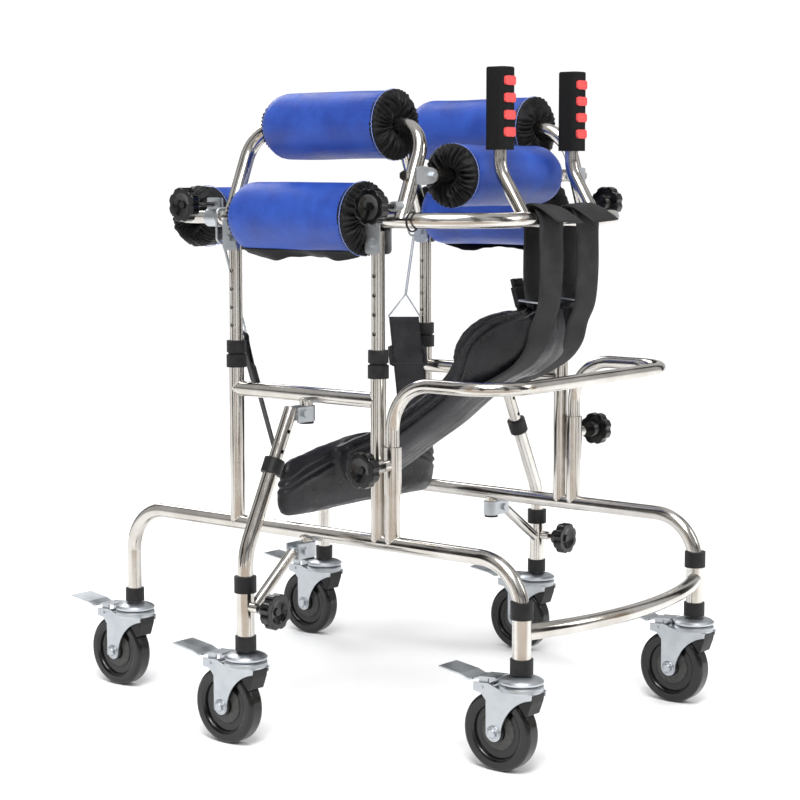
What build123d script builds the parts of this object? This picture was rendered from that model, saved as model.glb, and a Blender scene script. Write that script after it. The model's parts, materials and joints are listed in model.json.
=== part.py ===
from build123d import *
import os
from math import radians, tan

# A rehabilitation walker of bent stainless tube on six casters. The upper frame carries a padded
# ring and slides in the lower frame. +Z is up, -Y is the way it travels, X = 0 is its middle plane.

# Tubes
tube_d = 25.0
tube_bore = 22.6
slim_d = 22.0
slim_bore = 19.6
socket_d = 30.0
socket_bore = 25.4
weld_gap = 0.05  # a welded tube's end stops this far from the wall it is welded to

# Stations along Y; the middle of the caster pattern is a little ahead of the origin
mid_y = -38.0
rear_leg_y = mid_y + 423.0
front_leg_y = mid_y - 423.0
rear_post_y = mid_y + 168.0
front_post_y = mid_y - 141.0
handrail_leg_y = mid_y - 170.0
handrail_front_y = mid_y - 381.0
low_bar_front_y = mid_y - 476.5
ring_front_y = mid_y - 314.0
ring_rear_y = mid_y + 228.0
rear_bar_y = mid_y + 305.0
arch_front_y = mid_y - 188.0
arch_rear_y = mid_y + 178.0
rear_clamp_y = mid_y + 214.0
strap_hook_y = mid_y + 196.0
handle_y = mid_y - 264.0
outrigger_y = mid_y + 12.0

# Stations across and up
half_width = 260.0
leg_end_z = 161.0
low_bar_z = 221.0
rail_z = 329.0
mid_rail_z = 558.0
sleeve_top_z = 594.0
ring_z = 845.0
arch_top_z = 996.0
arch_top_x = 197.0
handle_x = 103.0
handrail_z = 588.0
clamp_knob_z = 457.0
ring_knob_z = 867.0
knob_face_x = 342.0

# Bends of the tubes
rail_bend = 78.0
ring_bend = 152.0
arch_bend = 55.0
handrail_rise_bend = 75.0
handrail_corner_bend = 80.0
rear_bar_bend = 38.0

# Casters
wheel_d = 125.0
wheel_w = 30.0
axle_d = 12.0
stem_d = 12.0
trail = 38.0
fork_inside = 18.0
fork_sheet = 3.0
crown_bottom_z = 131.0
crown_top_z = 155.0
cap_bottom_z = 158.0
cap_height = 23.0

# Pads
roll_d = 110.0
chest_roll_d = 103.0
strap_w = 60.0
front_strap_w = 65.0
front_strap_x = 52.5

# Height adjustment
pin_hole_d = 7.0
pin_pitch = 30.7
highest_pin_z = 757.0
pin_rows = 8

lean = radians(23.0)  # the arches lean inward


def bent_tube(points, bend, outer, bore=0.0):
    """A round tube along straight runs joined by arcs; a bore of 0 makes a solid bar."""
    with BuildPart() as tube:
        with BuildLine() as run:
            if len(points) == 2:
                Line(*points)
            else:
                FilletPolyline(*points, radius=bend)
        with BuildSketch(Plane(origin=run.line @ 0, z_dir=run.line % 0)):
            Circle(outer / 2)
            if bore:
                Circle(bore / 2, mode=Mode.SUBTRACT)
        sweep()
    return tube.part


def rod(start, end, outer, bore=0.0):
    """A straight round bar or tube between two points."""
    return bent_tube([start, end], 0, outer, bore)


def finish(part, name):
    """Labels a piece and writes it under its own name."""
    part.label = name
    export_step(part, f"parts/{name}.step")


def mirrored(part):
    """The same piece for the other side of the walker."""
    return mirror(part, about=Plane.YZ)


os.makedirs("parts", exist_ok=True)

# ---------------------------------------------------------------- lower frame

rail_points = [
    (-half_width, rear_leg_y, leg_end_z),
    (-half_width, rear_leg_y, rail_z),
    (-half_width, front_leg_y, rail_z),
    (-half_width, front_leg_y, low_bar_z + 15.0),
]
with BuildPart() as side_rails:
    add(bent_tube(rail_points, rail_bend, tube_d, tube_bore))
    mirror(about=Plane.YZ)
finish(side_rails.part, "side_rails")

# The low bar bows forward between two sockets that the rails' front ends plug into.
socket_top_z = 254.0
with BuildPart() as front_crossbar:
    with BuildLine() as bow:
        ThreePointArc(
            (-half_width, front_leg_y, low_bar_z),
            (0, low_bar_front_y, low_bar_z),
            (half_width, front_leg_y, low_bar_z),
        )
    with BuildSketch(Plane(origin=bow.line @ 0, z_dir=bow.line % 0)):
        Circle(tube_d / 2)
        Circle(tube_bore / 2, mode=Mode.SUBTRACT)
    sweep()
    for x in (-half_width, half_width):
        foot, top = (x, front_leg_y, leg_end_z), (x, front_leg_y, socket_top_z)
        add(rod(foot, top, socket_d))
        add(rod(foot, top, socket_bore), mode=Mode.SUBTRACT)
    # what is left of the bar past each socket
    with Locations((-half_width - 40, front_leg_y, low_bar_z), (half_width + 40, front_leg_y, low_bar_z)):
        Box(80 - socket_d, 80, 60, mode=Mode.SUBTRACT)
finish(front_crossbar.part, "front_crossbar")

# Uprights: post sleeves and handrail sockets on the rails, and the stubs that the outriggers turn on.
stub_low_z = (284.0, 510.0)
stub_top_z = (rail_z, mid_rail_z)
handrail_socket_top_z = 484.0
stud_hole_d = 8.4
with BuildPart() as frame_uprights:
    for y in (rear_post_y, front_post_y):
        add(rod((-half_width, y, rail_z), (-half_width, y, sleeve_top_z), tube_d, tube_bore))
    socket_foot = (-half_width, handrail_leg_y, rail_z)
    socket_head = (-half_width, handrail_leg_y, handrail_socket_top_z)
    add(rod(socket_foot, socket_head, tube_d, tube_bore))
    add(
        rod(
            (-half_width - tube_d, handrail_leg_y, clamp_knob_z),
            (-half_width, handrail_leg_y, clamp_knob_z),
            stud_hole_d,
        ),
        mode=Mode.SUBTRACT,
    )
    for low, top in zip(stub_low_z, stub_top_z):
        add(rod((-half_width, outrigger_y, low + 3), (-half_width, outrigger_y, top), slim_d, slim_bore))
    for z in (rail_z, mid_rail_z):
        rail_way = Plane(origin=(-half_width, 0, z), z_dir=(0, 1, 0))
        with BuildSketch(rail_way):
            Circle(tube_d / 2 + weld_gap)
        if z == rail_z:
            extrude(amount=1000, both=True, mode=Mode.SUBTRACT)
        else:
            extrude(amount=100, both=True, mode=Mode.SUBTRACT)
    mirror(about=Plane.YZ)
finish(frame_uprights.part, "frame_uprights")

with BuildPart() as mid_rails:
    add(
        rod(
            (-half_width, front_post_y, mid_rail_z),
            (-half_width, rear_post_y, mid_rail_z),
            tube_d,
            tube_bore,
        )
    )
    for y in (rear_post_y, front_post_y):
        post_room = tube_d + 2 * weld_gap
        low, high = (-half_width, y, mid_rail_z - 50), (-half_width, y, mid_rail_z + 50)
        add(rod(low, high, post_room), mode=Mode.SUBTRACT)
    mirror(about=Plane.YZ)
finish(mid_rails.part, "mid_rails")

# A welded-nut sleeve clamps each handrail leg in its socket.
clamp_d = 29.0
with BuildPart() as handrail_clamps:
    add(
        rod(
            (-half_width, handrail_leg_y, 410.0),
            (-half_width, handrail_leg_y, 486.0),
            clamp_d,
        )
    )
    add(
        rod(
            (-half_width - clamp_d / 2 - 12, handrail_leg_y, clamp_knob_z),
            (-half_width, handrail_leg_y, clamp_knob_z),
            18.0,
        )
    )
    add(
        rod(
            (-half_width, handrail_leg_y, 400.0),
            (-half_width, handrail_leg_y, 500.0),
            tube_d + 2 * weld_gap,
        ),
        mode=Mode.SUBTRACT,
    )
    add(
        rod(
            (-half_width - 60, handrail_leg_y, clamp_knob_z),
            (-half_width, handrail_leg_y, clamp_knob_z),
            stud_hole_d,
        ),
        mode=Mode.SUBTRACT,
    )
    mirror(about=Plane.YZ)
finish(handrail_clamps.part, "handrail_clamps")


def leg_ferrule(x, y, outer, leg_d, core_d):
    """A moulded cap round a leg's end, with a core up the tube that the caster's stem turns in."""
    with BuildPart() as ferrule:
        with BuildSketch(Plane(origin=(x, y, cap_bottom_z))):
            Circle(outer / 2)
        extrude(amount=cap_height)
        with BuildSketch(Plane(origin=(x, y, leg_end_z))):
            Circle(leg_d / 2 + weld_gap)
        extrude(amount=cap_height, mode=Mode.SUBTRACT)
        with BuildSketch(Plane(origin=(x, y, cap_bottom_z))):
            Circle(core_d / 2)
        extrude(amount=44)
        with BuildSketch(Plane(origin=(x, y, cap_bottom_z))):
            Circle(stem_d / 2 + 0.1)
        extrude(amount=60, mode=Mode.SUBTRACT)
    return ferrule.part


# Black plastic: ferrules, socket collars, stub caps and the two-ring collars on the post sleeves.
with BuildPart() as plastic_fittings:
    add(leg_ferrule(-half_width, rear_leg_y, 33.0, tube_d, tube_bore - 0.2))
    add(leg_ferrule(-half_width, front_leg_y, 36.0, socket_d, socket_bore - 0.2))
    with BuildSketch(Plane(origin=(-half_width, front_leg_y, 243.0))):
        Circle(18.0)
    extrude(amount=27)
    collar_foot = (-half_width, front_leg_y, 240.0)
    collar_head = (-half_width, front_leg_y, socket_top_z + 0.1)
    add(rod(collar_foot, collar_head, socket_d + 2 * weld_gap), mode=Mode.SUBTRACT)
    add(bent_tube(rail_points, rail_bend, tube_d + 2 * weld_gap), mode=Mode.SUBTRACT)
    for low in stub_low_z:
        with BuildSketch(Plane(origin=(-half_width, outrigger_y, low))):
            Circle(12.5)
        extrude(amount=3)
    for y in (rear_post_y, front_post_y):
        with BuildSketch(Plane(origin=(-half_width, y, sleeve_top_z + weld_gap))):
            Circle(17.0)
            Circle(slim_d / 2 + 0.2, mode=Mode.SUBTRACT)
        extrude(amount=21)
        with BuildSketch(Plane(origin=(-half_width, y, sleeve_top_z + 20))):
            Circle(14.0)
            Circle(slim_d / 2 + 0.2, mode=Mode.SUBTRACT)
        extrude(amount=8)
        with BuildSketch(Plane(origin=(-half_width, y, sleeve_top_z + 25))):
            Circle(16.5)
            Circle(slim_d / 2 + 0.2, mode=Mode.SUBTRACT)
        extrude(amount=20)
    mirror(about=Plane.YZ)
finish(plastic_fittings.part, "plastic_fittings")

# ---------------------------------------------------------------- upper frame

post_top_z = 828.0
post_bottom_z = 470.0
bolt_z = 810.0
with BuildPart() as telescopic_posts:
    for y in (rear_post_y, front_post_y):
        foot, top = (-half_width, y, post_bottom_z), (-half_width, y, post_top_z)
        add(rod(foot, top, slim_d, slim_bore))
        for row in range(pin_rows):
            z = highest_pin_z - row * pin_pitch
            left, right = (-half_width - 20, y, z), (-half_width + 20, y, z)
            add(rod(left, right, pin_hole_d), mode=Mode.SUBTRACT)
        left, right = (-half_width - 20, y, bolt_z), (-half_width + 20, y, bolt_z)
        add(rod(left, right, stud_hole_d), mode=Mode.SUBTRACT)
    mirror(about=Plane.YZ)
finish(telescopic_posts.part, "telescopic_posts")

ring_points = [
    (-half_width, ring_rear_y, ring_z),
    (-half_width, ring_front_y, ring_z),
    (half_width, ring_front_y, ring_z),
    (half_width, ring_rear_y, ring_z),
]
with BuildPart() as top_ring:
    add(bent_tube(ring_points, ring_bend, tube_d, tube_bore))
finish(top_ring.part, "top_ring")

# Two upright handles, each an S-bent tube welded on the ring's front.
grip_low_z = 956.0
grip_top_z = 1087.0
handle_points = [
    (-handle_x + 2, ring_front_y, ring_z),
    (-handle_x, handle_y, 925.0),
    (-handle_x, handle_y, grip_top_z - 6),
]
with BuildPart() as handle_tubes:
    add(bent_tube(handle_points, 60.0, slim_d, slim_bore))
    front_left, front_right = (-half_width, ring_front_y, ring_z), (half_width, ring_front_y, ring_z)
    add(rod(front_left, front_right, tube_d + 2 * weld_gap), mode=Mode.SUBTRACT)
    mirror(about=Plane.YZ)
finish(handle_tubes.part, "handle_tubes")

insert_count = 4
insert_pitch = 27.0
insert_height = 15.0
insert_first_z = grip_top_z - 22.0
grip_x, grip_y = 36.0, 40.0
with BuildPart() as handle_grips:
    with BuildSketch(Plane(origin=(-handle_x, handle_y, grip_low_z))):
        RectangleRounded(grip_x, grip_y, 11.0)
    extrude(amount=grip_top_z - grip_low_z)
    fillet(handle_grips.faces().sort_by(Axis.Z)[-1].edges(), 3.0)
    with BuildSketch(Plane(origin=(-handle_x, handle_y, grip_low_z - 5))):
        Circle(slim_d / 2 + weld_gap)
    extrude(amount=grip_top_z - grip_low_z - 0.5, mode=Mode.SUBTRACT)
    for row in range(insert_count):
        z = insert_first_z - row * insert_pitch
        with Locations((-handle_x, handle_y - grip_y / 2 + 2, z)):
            Box(28.0, 8.0, insert_height, mode=Mode.SUBTRACT)
    mirror(about=Plane.YZ)
finish(handle_grips.part, "handle_grips")

with BuildPart() as grip_inserts:
    for row in range(insert_count):
        insert_at = (-handle_x, handle_y - grip_y / 2 + 2.5, insert_first_z - row * insert_pitch)
        with BuildSketch(Plane(insert_at, x_dir=(1, 0, 0), z_dir=(0, 1, 0))):
            RectangleRounded(28.0, insert_height, 5.0)
        extrude(amount=3.5, both=True)
    mirror(about=Plane.YZ)
finish(grip_inserts.part, "grip_inserts")

# Two arches hold the arm rolls; each leg leans inward from the ring.
arch_foot_x = arch_top_x + (arch_top_z - ring_z) * tan(lean)
arch_points = [
    (-arch_foot_x, arch_front_y, ring_z),
    (-arch_top_x, arch_front_y, arch_top_z),
    (-arch_top_x, arch_rear_y, arch_top_z),
    (-arch_foot_x, arch_rear_y, ring_z),
]
chest_bar_z = 915.0
ring_side = [(-half_width, ring_front_y, ring_z), (-half_width, ring_rear_y + 20, ring_z)]
with BuildPart() as armrest_arches:
    add(bent_tube(arch_points, arch_bend, tube_d, tube_bore))
    add(bent_tube(ring_points, ring_bend, tube_d + 2 * weld_gap), mode=Mode.SUBTRACT)
    hole_left, hole_right = (-280, arch_front_y, chest_bar_z), (-190, arch_front_y, chest_bar_z)
    add(rod(hole_left, hole_right, stud_hole_d), mode=Mode.SUBTRACT)
    for scrap in armrest_arches.solids().sort_by(SortBy.VOLUME)[:-1]:
        add(scrap, mode=Mode.SUBTRACT)
    mirror(about=Plane.YZ)
finish(armrest_arches.part, "armrest_arches")

# Brackets on the ring: plates that hold the posts, pinch clamps of the rear bar, bosses of the
# front knobs.
plate_t = 3.0
plate_w = 30.0
with BuildPart() as ring_brackets:
    for y in (rear_post_y, front_post_y):
        for side in (-1, 1):
            inner = -half_width + side * (tube_d / 2 + weld_gap + plate_t / 2)
            with BuildSketch(Plane((inner, y, 818.0), x_dir=(0, 1, 0), z_dir=(1, 0, 0))):
                RectangleRounded(plate_w, 54.0, 8.0)
            extrude(amount=plate_t / 2, both=True)
            with Locations(Location((inner, y, bolt_z), (0, 90, 0))):
                Cylinder(stud_hole_d / 2, 10, mode=Mode.SUBTRACT)
    clamp_side = [(-half_width, rear_clamp_y - 13, ring_z), (-half_width, rear_clamp_y + 13, ring_z)]
    add(rod(*clamp_side, tube_d + 6.0))
    with Locations((-half_width, rear_clamp_y, ring_z + 22)):
        Box(12.0, 26.0, 22.0)
    add(rod(*ring_side, tube_d + 2 * weld_gap), mode=Mode.SUBTRACT)
    with Locations((-half_width, rear_clamp_y, ring_z + 24)):
        Box(4.0, 30.0, 26.0, mode=Mode.SUBTRACT)
    boss = [(-half_width - 22, arch_front_y, ring_knob_z), (-half_width + 8, arch_front_y, ring_knob_z)]
    add(rod(*boss, 16.0))
    add(rod(arch_points[0], arch_points[1], tube_d + 2 * weld_gap), mode=Mode.SUBTRACT)
    with Locations((-half_width + 30 - 5, arch_front_y, ring_knob_z)):
        Box(30.0, 30.0, 30.0, mode=Mode.SUBTRACT)
    for y in (arch_front_y, rear_clamp_y):
        far, near = (-half_width - 40, y, ring_knob_z), (-half_width + 12, y, ring_knob_z)
        add(rod(far, near, stud_hole_d), mode=Mode.SUBTRACT)
    mirror(about=Plane.YZ)
finish(ring_brackets.part, "ring_brackets")

# Cross bolts through the posts' plates, with hexagon heads and nuts.
with BuildPart() as frame_bolts:
    for y in (rear_post_y, front_post_y):
        reach = tube_d / 2 + plate_t + 0.2
        far, near = (-half_width - reach - 4, y, bolt_z), (-half_width + reach + 6, y, bolt_z)
        add(rod(far, near, 8.0))
        for x in (-half_width - reach - 5.5, -half_width + reach):
            with BuildSketch(Plane(origin=(x, y, bolt_z), z_dir=(1, 0, 0))):
                RegularPolygon(7.5, 6)
            extrude(amount=5.5)
    mirror(about=Plane.YZ)
finish(frame_bolts.part, "frame_bolts")


def roll_pad(start, end, diameter, bore, offset=(0, 0)):
    """A padded roll between two points, round a tube; its centre may sit off the tube's."""
    with BuildPart() as roll:
        with BuildLine() as run:
            Line(start, end)
        with BuildSketch(Plane(origin=run.line @ 0, z_dir=run.line % 0)):
            with Locations(offset):
                Circle(diameter / 2)
        sweep()
        fillet(roll.edges().filter_by(GeomType.CIRCLE), 9.0)
        add(rod(start, end, bore + 0.2), mode=Mode.SUBTRACT)
    return roll.part


arm_roll_rear_y, arm_roll_front_y = mid_y + 122.0, mid_y - 130.0
with BuildPart() as arm_rolls:
    roll_ends = [(-arch_top_x, arm_roll_front_y, arch_top_z), (-arch_top_x, arm_roll_rear_y, arch_top_z)]
    add(roll_pad(*roll_ends, roll_d, tube_d))
    mirror(about=Plane.YZ)
finish(arm_rolls.part, "arm_rolls")

side_roll_rear_y, side_roll_front_y = mid_y + 140.0, mid_y - 118.0
with BuildPart() as side_rolls:
    roll_ends = [(-half_width, side_roll_front_y, ring_z), (-half_width, side_roll_rear_y, ring_z)]
    add(roll_pad(*roll_ends, roll_d, tube_d))
    mirror(about=Plane.YZ)
finish(side_rolls.part, "side_rolls")

# The saddle sling: a padded tongue that drops from the front straps and a wide band across the rear.
tongue_side = [
    (-322, 700), (-320, 665), (-308, 632), (-285, 604), (-238, 575), (-141, 525), (-60, 462),
    (20, 400), (94, 345), (94, 440), (20, 470), (-60, 520), (-140, 585), (-152, 620),
    (-170, 655), (-215, 688), (-273, 700),
]
tongue_half_w = 80.0
band_front_y, band_rear_y = mid_y + 94.0, mid_y + 134.0
with BuildPart() as saddle_seat:
    with BuildSketch(Plane(origin=(0, mid_y, 0), x_dir=(0, 1, 0), z_dir=(1, 0, 0))):
        Polygon(*tongue_side, align=None)
    extrude(amount=tongue_half_w, both=True)
    with BuildSketch(Plane(origin=(0, band_front_y, 0), x_dir=(-1, 0, 0), z_dir=(0, 1, 0))):
        Polygon(
            (-205, 340), (-150, 328), (150, 328), (205, 340), (205, 398), (100, 448),
            (0, 466), (-100, 448), (-205, 398),
            align=None,
        )
    extrude(amount=band_rear_y - band_front_y)
finish(saddle_seat.part, "saddle_seat")

# Front straps: an outer ply down the front of the ring, a flap over it and an inner ply behind it.
ply_front_y = ring_front_y - tube_d / 2 - 9
with BuildPart() as saddle_straps:
    with Locations((-front_strap_x, ply_front_y + 4, 779.0)):
        Box(front_strap_w, 8.0, 158.0)
    with Locations((-front_strap_x, ring_front_y - 1, 862.5)):
        Box(front_strap_w, 42.0, 9.0)
    with Locations((-front_strap_x, ring_front_y + 17, 782.0)):
        Box(front_strap_w - 15, 6.0, 163.8)
    mirror(about=Plane.YZ)
finish(saddle_straps.part, "saddle_straps")

with BuildPart() as strap_buckles:
    with Locations((-front_strap_x, ring_front_y + 27, 744.0)):
        Box(34.0, 12.0, 62.0)
    fillet(strap_buckles.edges(), 3.0)
    mirror(about=Plane.YZ)
finish(strap_buckles.part, "strap_buckles")

# Rear straps hang the band's ends from wire hooks on the ring.
strap_top = Vector(-221.0, strap_hook_y - 8, 643.0)
strap_foot = Vector(-214.0, mid_y + 122.0, 404.0)
strap_turn = (0.623, 0.782, 0)
with BuildPart() as rear_straps:
    hang = (strap_foot - strap_top).normalized()
    with BuildSketch(Plane(origin=strap_top, x_dir=strap_turn, z_dir=hang)):
        Rectangle(strap_w, 4.0)
    extrude(amount=(strap_foot - strap_top).length)
    mirror(about=Plane.YZ)
finish(rear_straps.part, "rear_straps")

hook_wire = 4.0
hook_points = [
    (-half_width - 16, strap_hook_y, ring_z + 15.5),
    (-half_width + 16, strap_hook_y, ring_z + 15.5),
    (-half_width + 16, strap_hook_y, ring_z - 42),
    (-half_width - 16, strap_hook_y, ring_z - 42),
]
link_top = Vector(-half_width, strap_hook_y, ring_z - 44)
apex = Vector(-228.0, strap_hook_y - 6, 694.0)
edge = Vector(*strap_turn) * (strap_w / 2)
lift = Vector(0, 0, 8.5)
with BuildPart() as strap_hooks:
    with BuildLine() as loop:
        FilletPolyline(*hook_points, radius=10.0, close=True)
    with BuildSketch(Plane(origin=loop.line @ 0, z_dir=loop.line % 0)):
        Circle(hook_wire / 2)
    sweep()
    add(rod(link_top, apex, 5.0))
    bar_rear, bar_front = strap_top + edge + lift, strap_top - edge + lift
    for start, end in ((apex, bar_rear), (apex, bar_front), (bar_rear, bar_front)):
        add(rod(start, end, hook_wire - 1))
    mirror(about=Plane.YZ)
finish(strap_hooks.part, "strap_hooks")

# ---------------------------------------------------------------- chest roll, rear bar, handrail

chest_half = 134.0
bar_half = 207.0
with BuildPart() as chest_bar:
    left, right = (-bar_half, arch_front_y, chest_bar_z), (bar_half, arch_front_y, chest_bar_z)
    add(rod(left, right, slim_d))
    for side in (-1, 1):
        inner = (side * (bar_half - 1), arch_front_y, chest_bar_z)
        outer = (side * 255, arch_front_y, chest_bar_z)
        add(rod(inner, outer, 8.0))
        with BuildSketch(Plane(origin=(side * 250, arch_front_y, chest_bar_z), z_dir=(side, 0, 0))):
            RegularPolygon(8.0, 6)
        extrude(amount=6)
finish(chest_bar.part, "chest_bar")

roll_ends = [(-chest_half, arch_front_y, chest_bar_z), (chest_half, arch_front_y, chest_bar_z)]
finish(roll_pad(*roll_ends, chest_roll_d, slim_d), "chest_roll")

rear_bar_points = [
    (-half_width, mid_y + 118, ring_z),
    (-half_width, rear_bar_y, ring_z),
    (half_width, rear_bar_y, ring_z),
    (half_width, mid_y + 118, ring_z),
]
with BuildPart() as rear_bar:
    add(bent_tube(rear_bar_points, rear_bar_bend, slim_d, slim_bore))
finish(rear_bar.part, "rear_bar")

rear_roll_half = 221.0
roll_ends = [(-rear_roll_half, rear_bar_y, ring_z), (rear_roll_half, rear_bar_y, ring_z)]
finish(roll_pad(*roll_ends, 104.0, slim_d), "rear_roll")

handrail_points = [
    (-half_width, handrail_leg_y, 396.0),
    (-half_width, handrail_leg_y, handrail_z),
    (-half_width, handrail_front_y, handrail_z),
    (half_width, handrail_front_y, handrail_z),
    (half_width, handrail_leg_y, handrail_z),
    (half_width, handrail_leg_y, 396.0),
]
handrail_bends = [handrail_rise_bend, handrail_corner_bend, handrail_corner_bend, handrail_rise_bend]
with BuildPart() as handrail:
    add(bent_tube(handrail_points, handrail_bends, slim_d, slim_bore))
finish(handrail.part, "handrail")

# ---------------------------------------------------------------- star knobs


knob_hub_length, knob_disc_t, knob_lobes = 15.0, 17.0, 8
knob_r, scallop_r, scallop_ring_r = 29.0, 9.0, 35.5
dish_r, dish_rise = 44.0, 39.4


def star_knob(stud_length):
    """A lobed knob with a dished face up, its threaded stud down; the stud's tip is at the origin."""
    disc_foot = stud_length + knob_hub_length
    face = disc_foot + knob_disc_t
    with BuildPart() as knob:
        with BuildSketch(Plane.XY.offset(disc_foot)) as outline:
            Circle(knob_r)
            with PolarLocations(scallop_ring_r, knob_lobes):
                Circle(scallop_r, mode=Mode.SUBTRACT)
            fillet(outline.vertices(), 2.5)
        extrude(amount=knob_disc_t)
        fillet(knob.edges().group_by(Axis.Z)[-1], 2.0)
        fillet(knob.edges().group_by(Axis.Z)[0], 2.0)
        with BuildSketch(Plane.XY.offset(disc_foot + 1)):
            Circle(17.0)
        extrude(amount=-knob_hub_length - 1, taper=14)
        with BuildSketch(Plane.XZ):
            with Locations((0, face + dish_rise)):
                Circle(dish_r)
            with Locations((-50, face)):
                Rectangle(100, 200, mode=Mode.SUBTRACT)
        revolve(axis=Axis.Z, mode=Mode.SUBTRACT)
        # a boss in the middle of the dish
        with BuildSketch(Plane.XY.offset(face - 6)):
            Circle(6.0)
        extrude(amount=4)
        with BuildSketch(Plane.XY):
            Circle(4.0)
        extrude(amount=stud_length + 2)
    return knob.part


knob_length = knob_hub_length + knob_disc_t
side_knobs = {
    "handrail_knob": (handrail_leg_y, clamp_knob_z, half_width + slim_d / 2 + 0.3),
    "front_knob": (arch_front_y, ring_knob_z, half_width + 9.0),
    "rear_knob": (rear_clamp_y, ring_knob_z, half_width - 5.0),
}
for name, (y, z, tip_x) in side_knobs.items():
    knob = star_knob(knob_face_x - tip_x - knob_length)
    placed = knob.moved(Plane(origin=(-tip_x, y, z), z_dir=(-1, 0, 0)).location)
    finish(placed, f"right_{name}")
    finish(mirrored(placed), f"left_{name}")

# ---------------------------------------------------------------- outriggers

arm_top = Vector(-297.5, outrigger_y, 538.0)
knee = Vector(-410.0, outrigger_y, 314.0)
foot_x = 410.0
arm_way = (knee - arm_top).normalized()
arm_end = arm_top + arm_way * 130
leg_head = arm_top + arm_way * 92
brace_top = Vector(-296.0, outrigger_y, 300.0)
brace_foot = Vector(-393.0, outrigger_y - 6, 229.0)
leg_points = [leg_head, knee, Vector(-foot_x, outrigger_y, 206.0)]
foot_socket_top_z = 254.0
stub_turn_d = slim_d + 0.4
knob_stub_z = 229.0

with BuildPart() as outrigger_leg:
    # the inner arm, with its row of holes, and the leg it slides in
    add(rod(arm_top, arm_end, slim_d, slim_bore))
    for step in (40, 75):
        at = arm_top + arm_way * step
        add(rod(at - Vector(0, 20, 0), at + Vector(0, 20, 0), pin_hole_d), mode=Mode.SUBTRACT)
    add(bent_tube(leg_points, 110.0, tube_d, tube_bore))
    socket_ends = [(-foot_x, outrigger_y, leg_end_z), (-foot_x, outrigger_y, foot_socket_top_z)]
    add(rod(*socket_ends, 28.6, tube_d + 0.2))

with BuildPart() as outrigger_brace:
    add(rod(brace_top, brace_foot, 18.0))
    add(rod(socket_ends[0], socket_ends[1], 28.6 + 0.2), mode=Mode.SUBTRACT)
    # a threaded boss for the knob, welded to the socket's front
    boss_front = Vector(-foot_x, outrigger_y - 30, knob_stub_z)
    add(rod(boss_front, Vector(-foot_x, outrigger_y, knob_stub_z), 16.0))
    add(rod(socket_ends[0], socket_ends[1], 28.6 + 0.2), mode=Mode.SUBTRACT)
    add(rod(boss_front, Vector(-foot_x, outrigger_y, knob_stub_z), stud_hole_d), mode=Mode.SUBTRACT)
    for scrap in outrigger_brace.solids().sort_by(SortBy.VOLUME)[:-1]:
        if scrap.bounding_box().min.Y > outrigger_y:
            add(scrap, mode=Mode.SUBTRACT)

with BuildPart() as outrigger_brackets:
    for low, bolt_up in ((514.5, 529.0), (288.5, 301.0)):
        high = low + 25.0
        bolt = Vector(-281.0, outrigger_y, bolt_up)
        # a strap that wraps the stub, with two ears towards the leg
        with BuildSketch(Plane(origin=(-half_width, outrigger_y, low))):
            Circle(14.5)
            with Locations((-18.0, 0)):
                Rectangle(36.0, 29.0)
        extrude(amount=high - low)
        with BuildSketch(Plane(origin=(-half_width, outrigger_y, low))):
            Circle(stub_turn_d / 2)
            with Locations((-28.0, 0)):
                Rectangle(30.0, 23.4)
        extrude(amount=high - low, mode=Mode.SUBTRACT)
        add(rod(bolt - Vector(0, 19, 0), bolt + Vector(0, 19, 0), 8.0))
        for y_side in (-19.5, 14.5):
            with BuildSketch(Plane(origin=bolt + Vector(0, y_side, 0), z_dir=(0, 1, 0))):
                RegularPolygon(7.0, 6)
            extrude(amount=5.0)

with BuildPart() as outrigger_fittings:
    collar_at = leg_head - arm_way * 3
    add(rod(collar_at, collar_at + arm_way * 25, 34.0))
    leg_room = rod(leg_head - arm_way * weld_gap, leg_head + arm_way * 40, tube_d + 2 * weld_gap)
    add(leg_room, mode=Mode.SUBTRACT)
    add(rod(arm_top, arm_end, slim_d + 2 * weld_gap), mode=Mode.SUBTRACT)
    with BuildSketch(Plane(origin=(-foot_x, outrigger_y, foot_socket_top_z - 2))):
        Circle(18.0)
    extrude(amount=26)
    for outer, low, high in ((28.7, foot_socket_top_z - 10, foot_socket_top_z + 0.1), (25.1, 200.0, 300.0)):
        collar_foot, collar_head = (-foot_x, outrigger_y, low), (-foot_x, outrigger_y, high)
        add(rod(collar_foot, collar_head, outer), mode=Mode.SUBTRACT)
    add(leg_ferrule(-foot_x, outrigger_y, 34.0, 28.6, tube_d))

outrigger_knob = star_knob(26.0).moved(
    Plane(origin=(-foot_x, outrigger_y - 15.0, knob_stub_z), z_dir=(0, -1, 0)).location
)
for name, piece in {
    "leg": outrigger_leg.part,
    "brace": outrigger_brace.part,
    "brackets": outrigger_brackets.part,
    "fittings": outrigger_fittings.part,
    "knob": outrigger_knob,
}.items():
    finish(piece, f"right_outrigger_{name}")
    finish(mirrored(piece), f"left_outrigger_{name}")

# ---------------------------------------------------------------- casters
# Each is modelled with its swivel axis on Z and trails towards +Y.

wheel_r = wheel_d / 2
pivot_y, pivot_z = 60.0, 131.0

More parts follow.
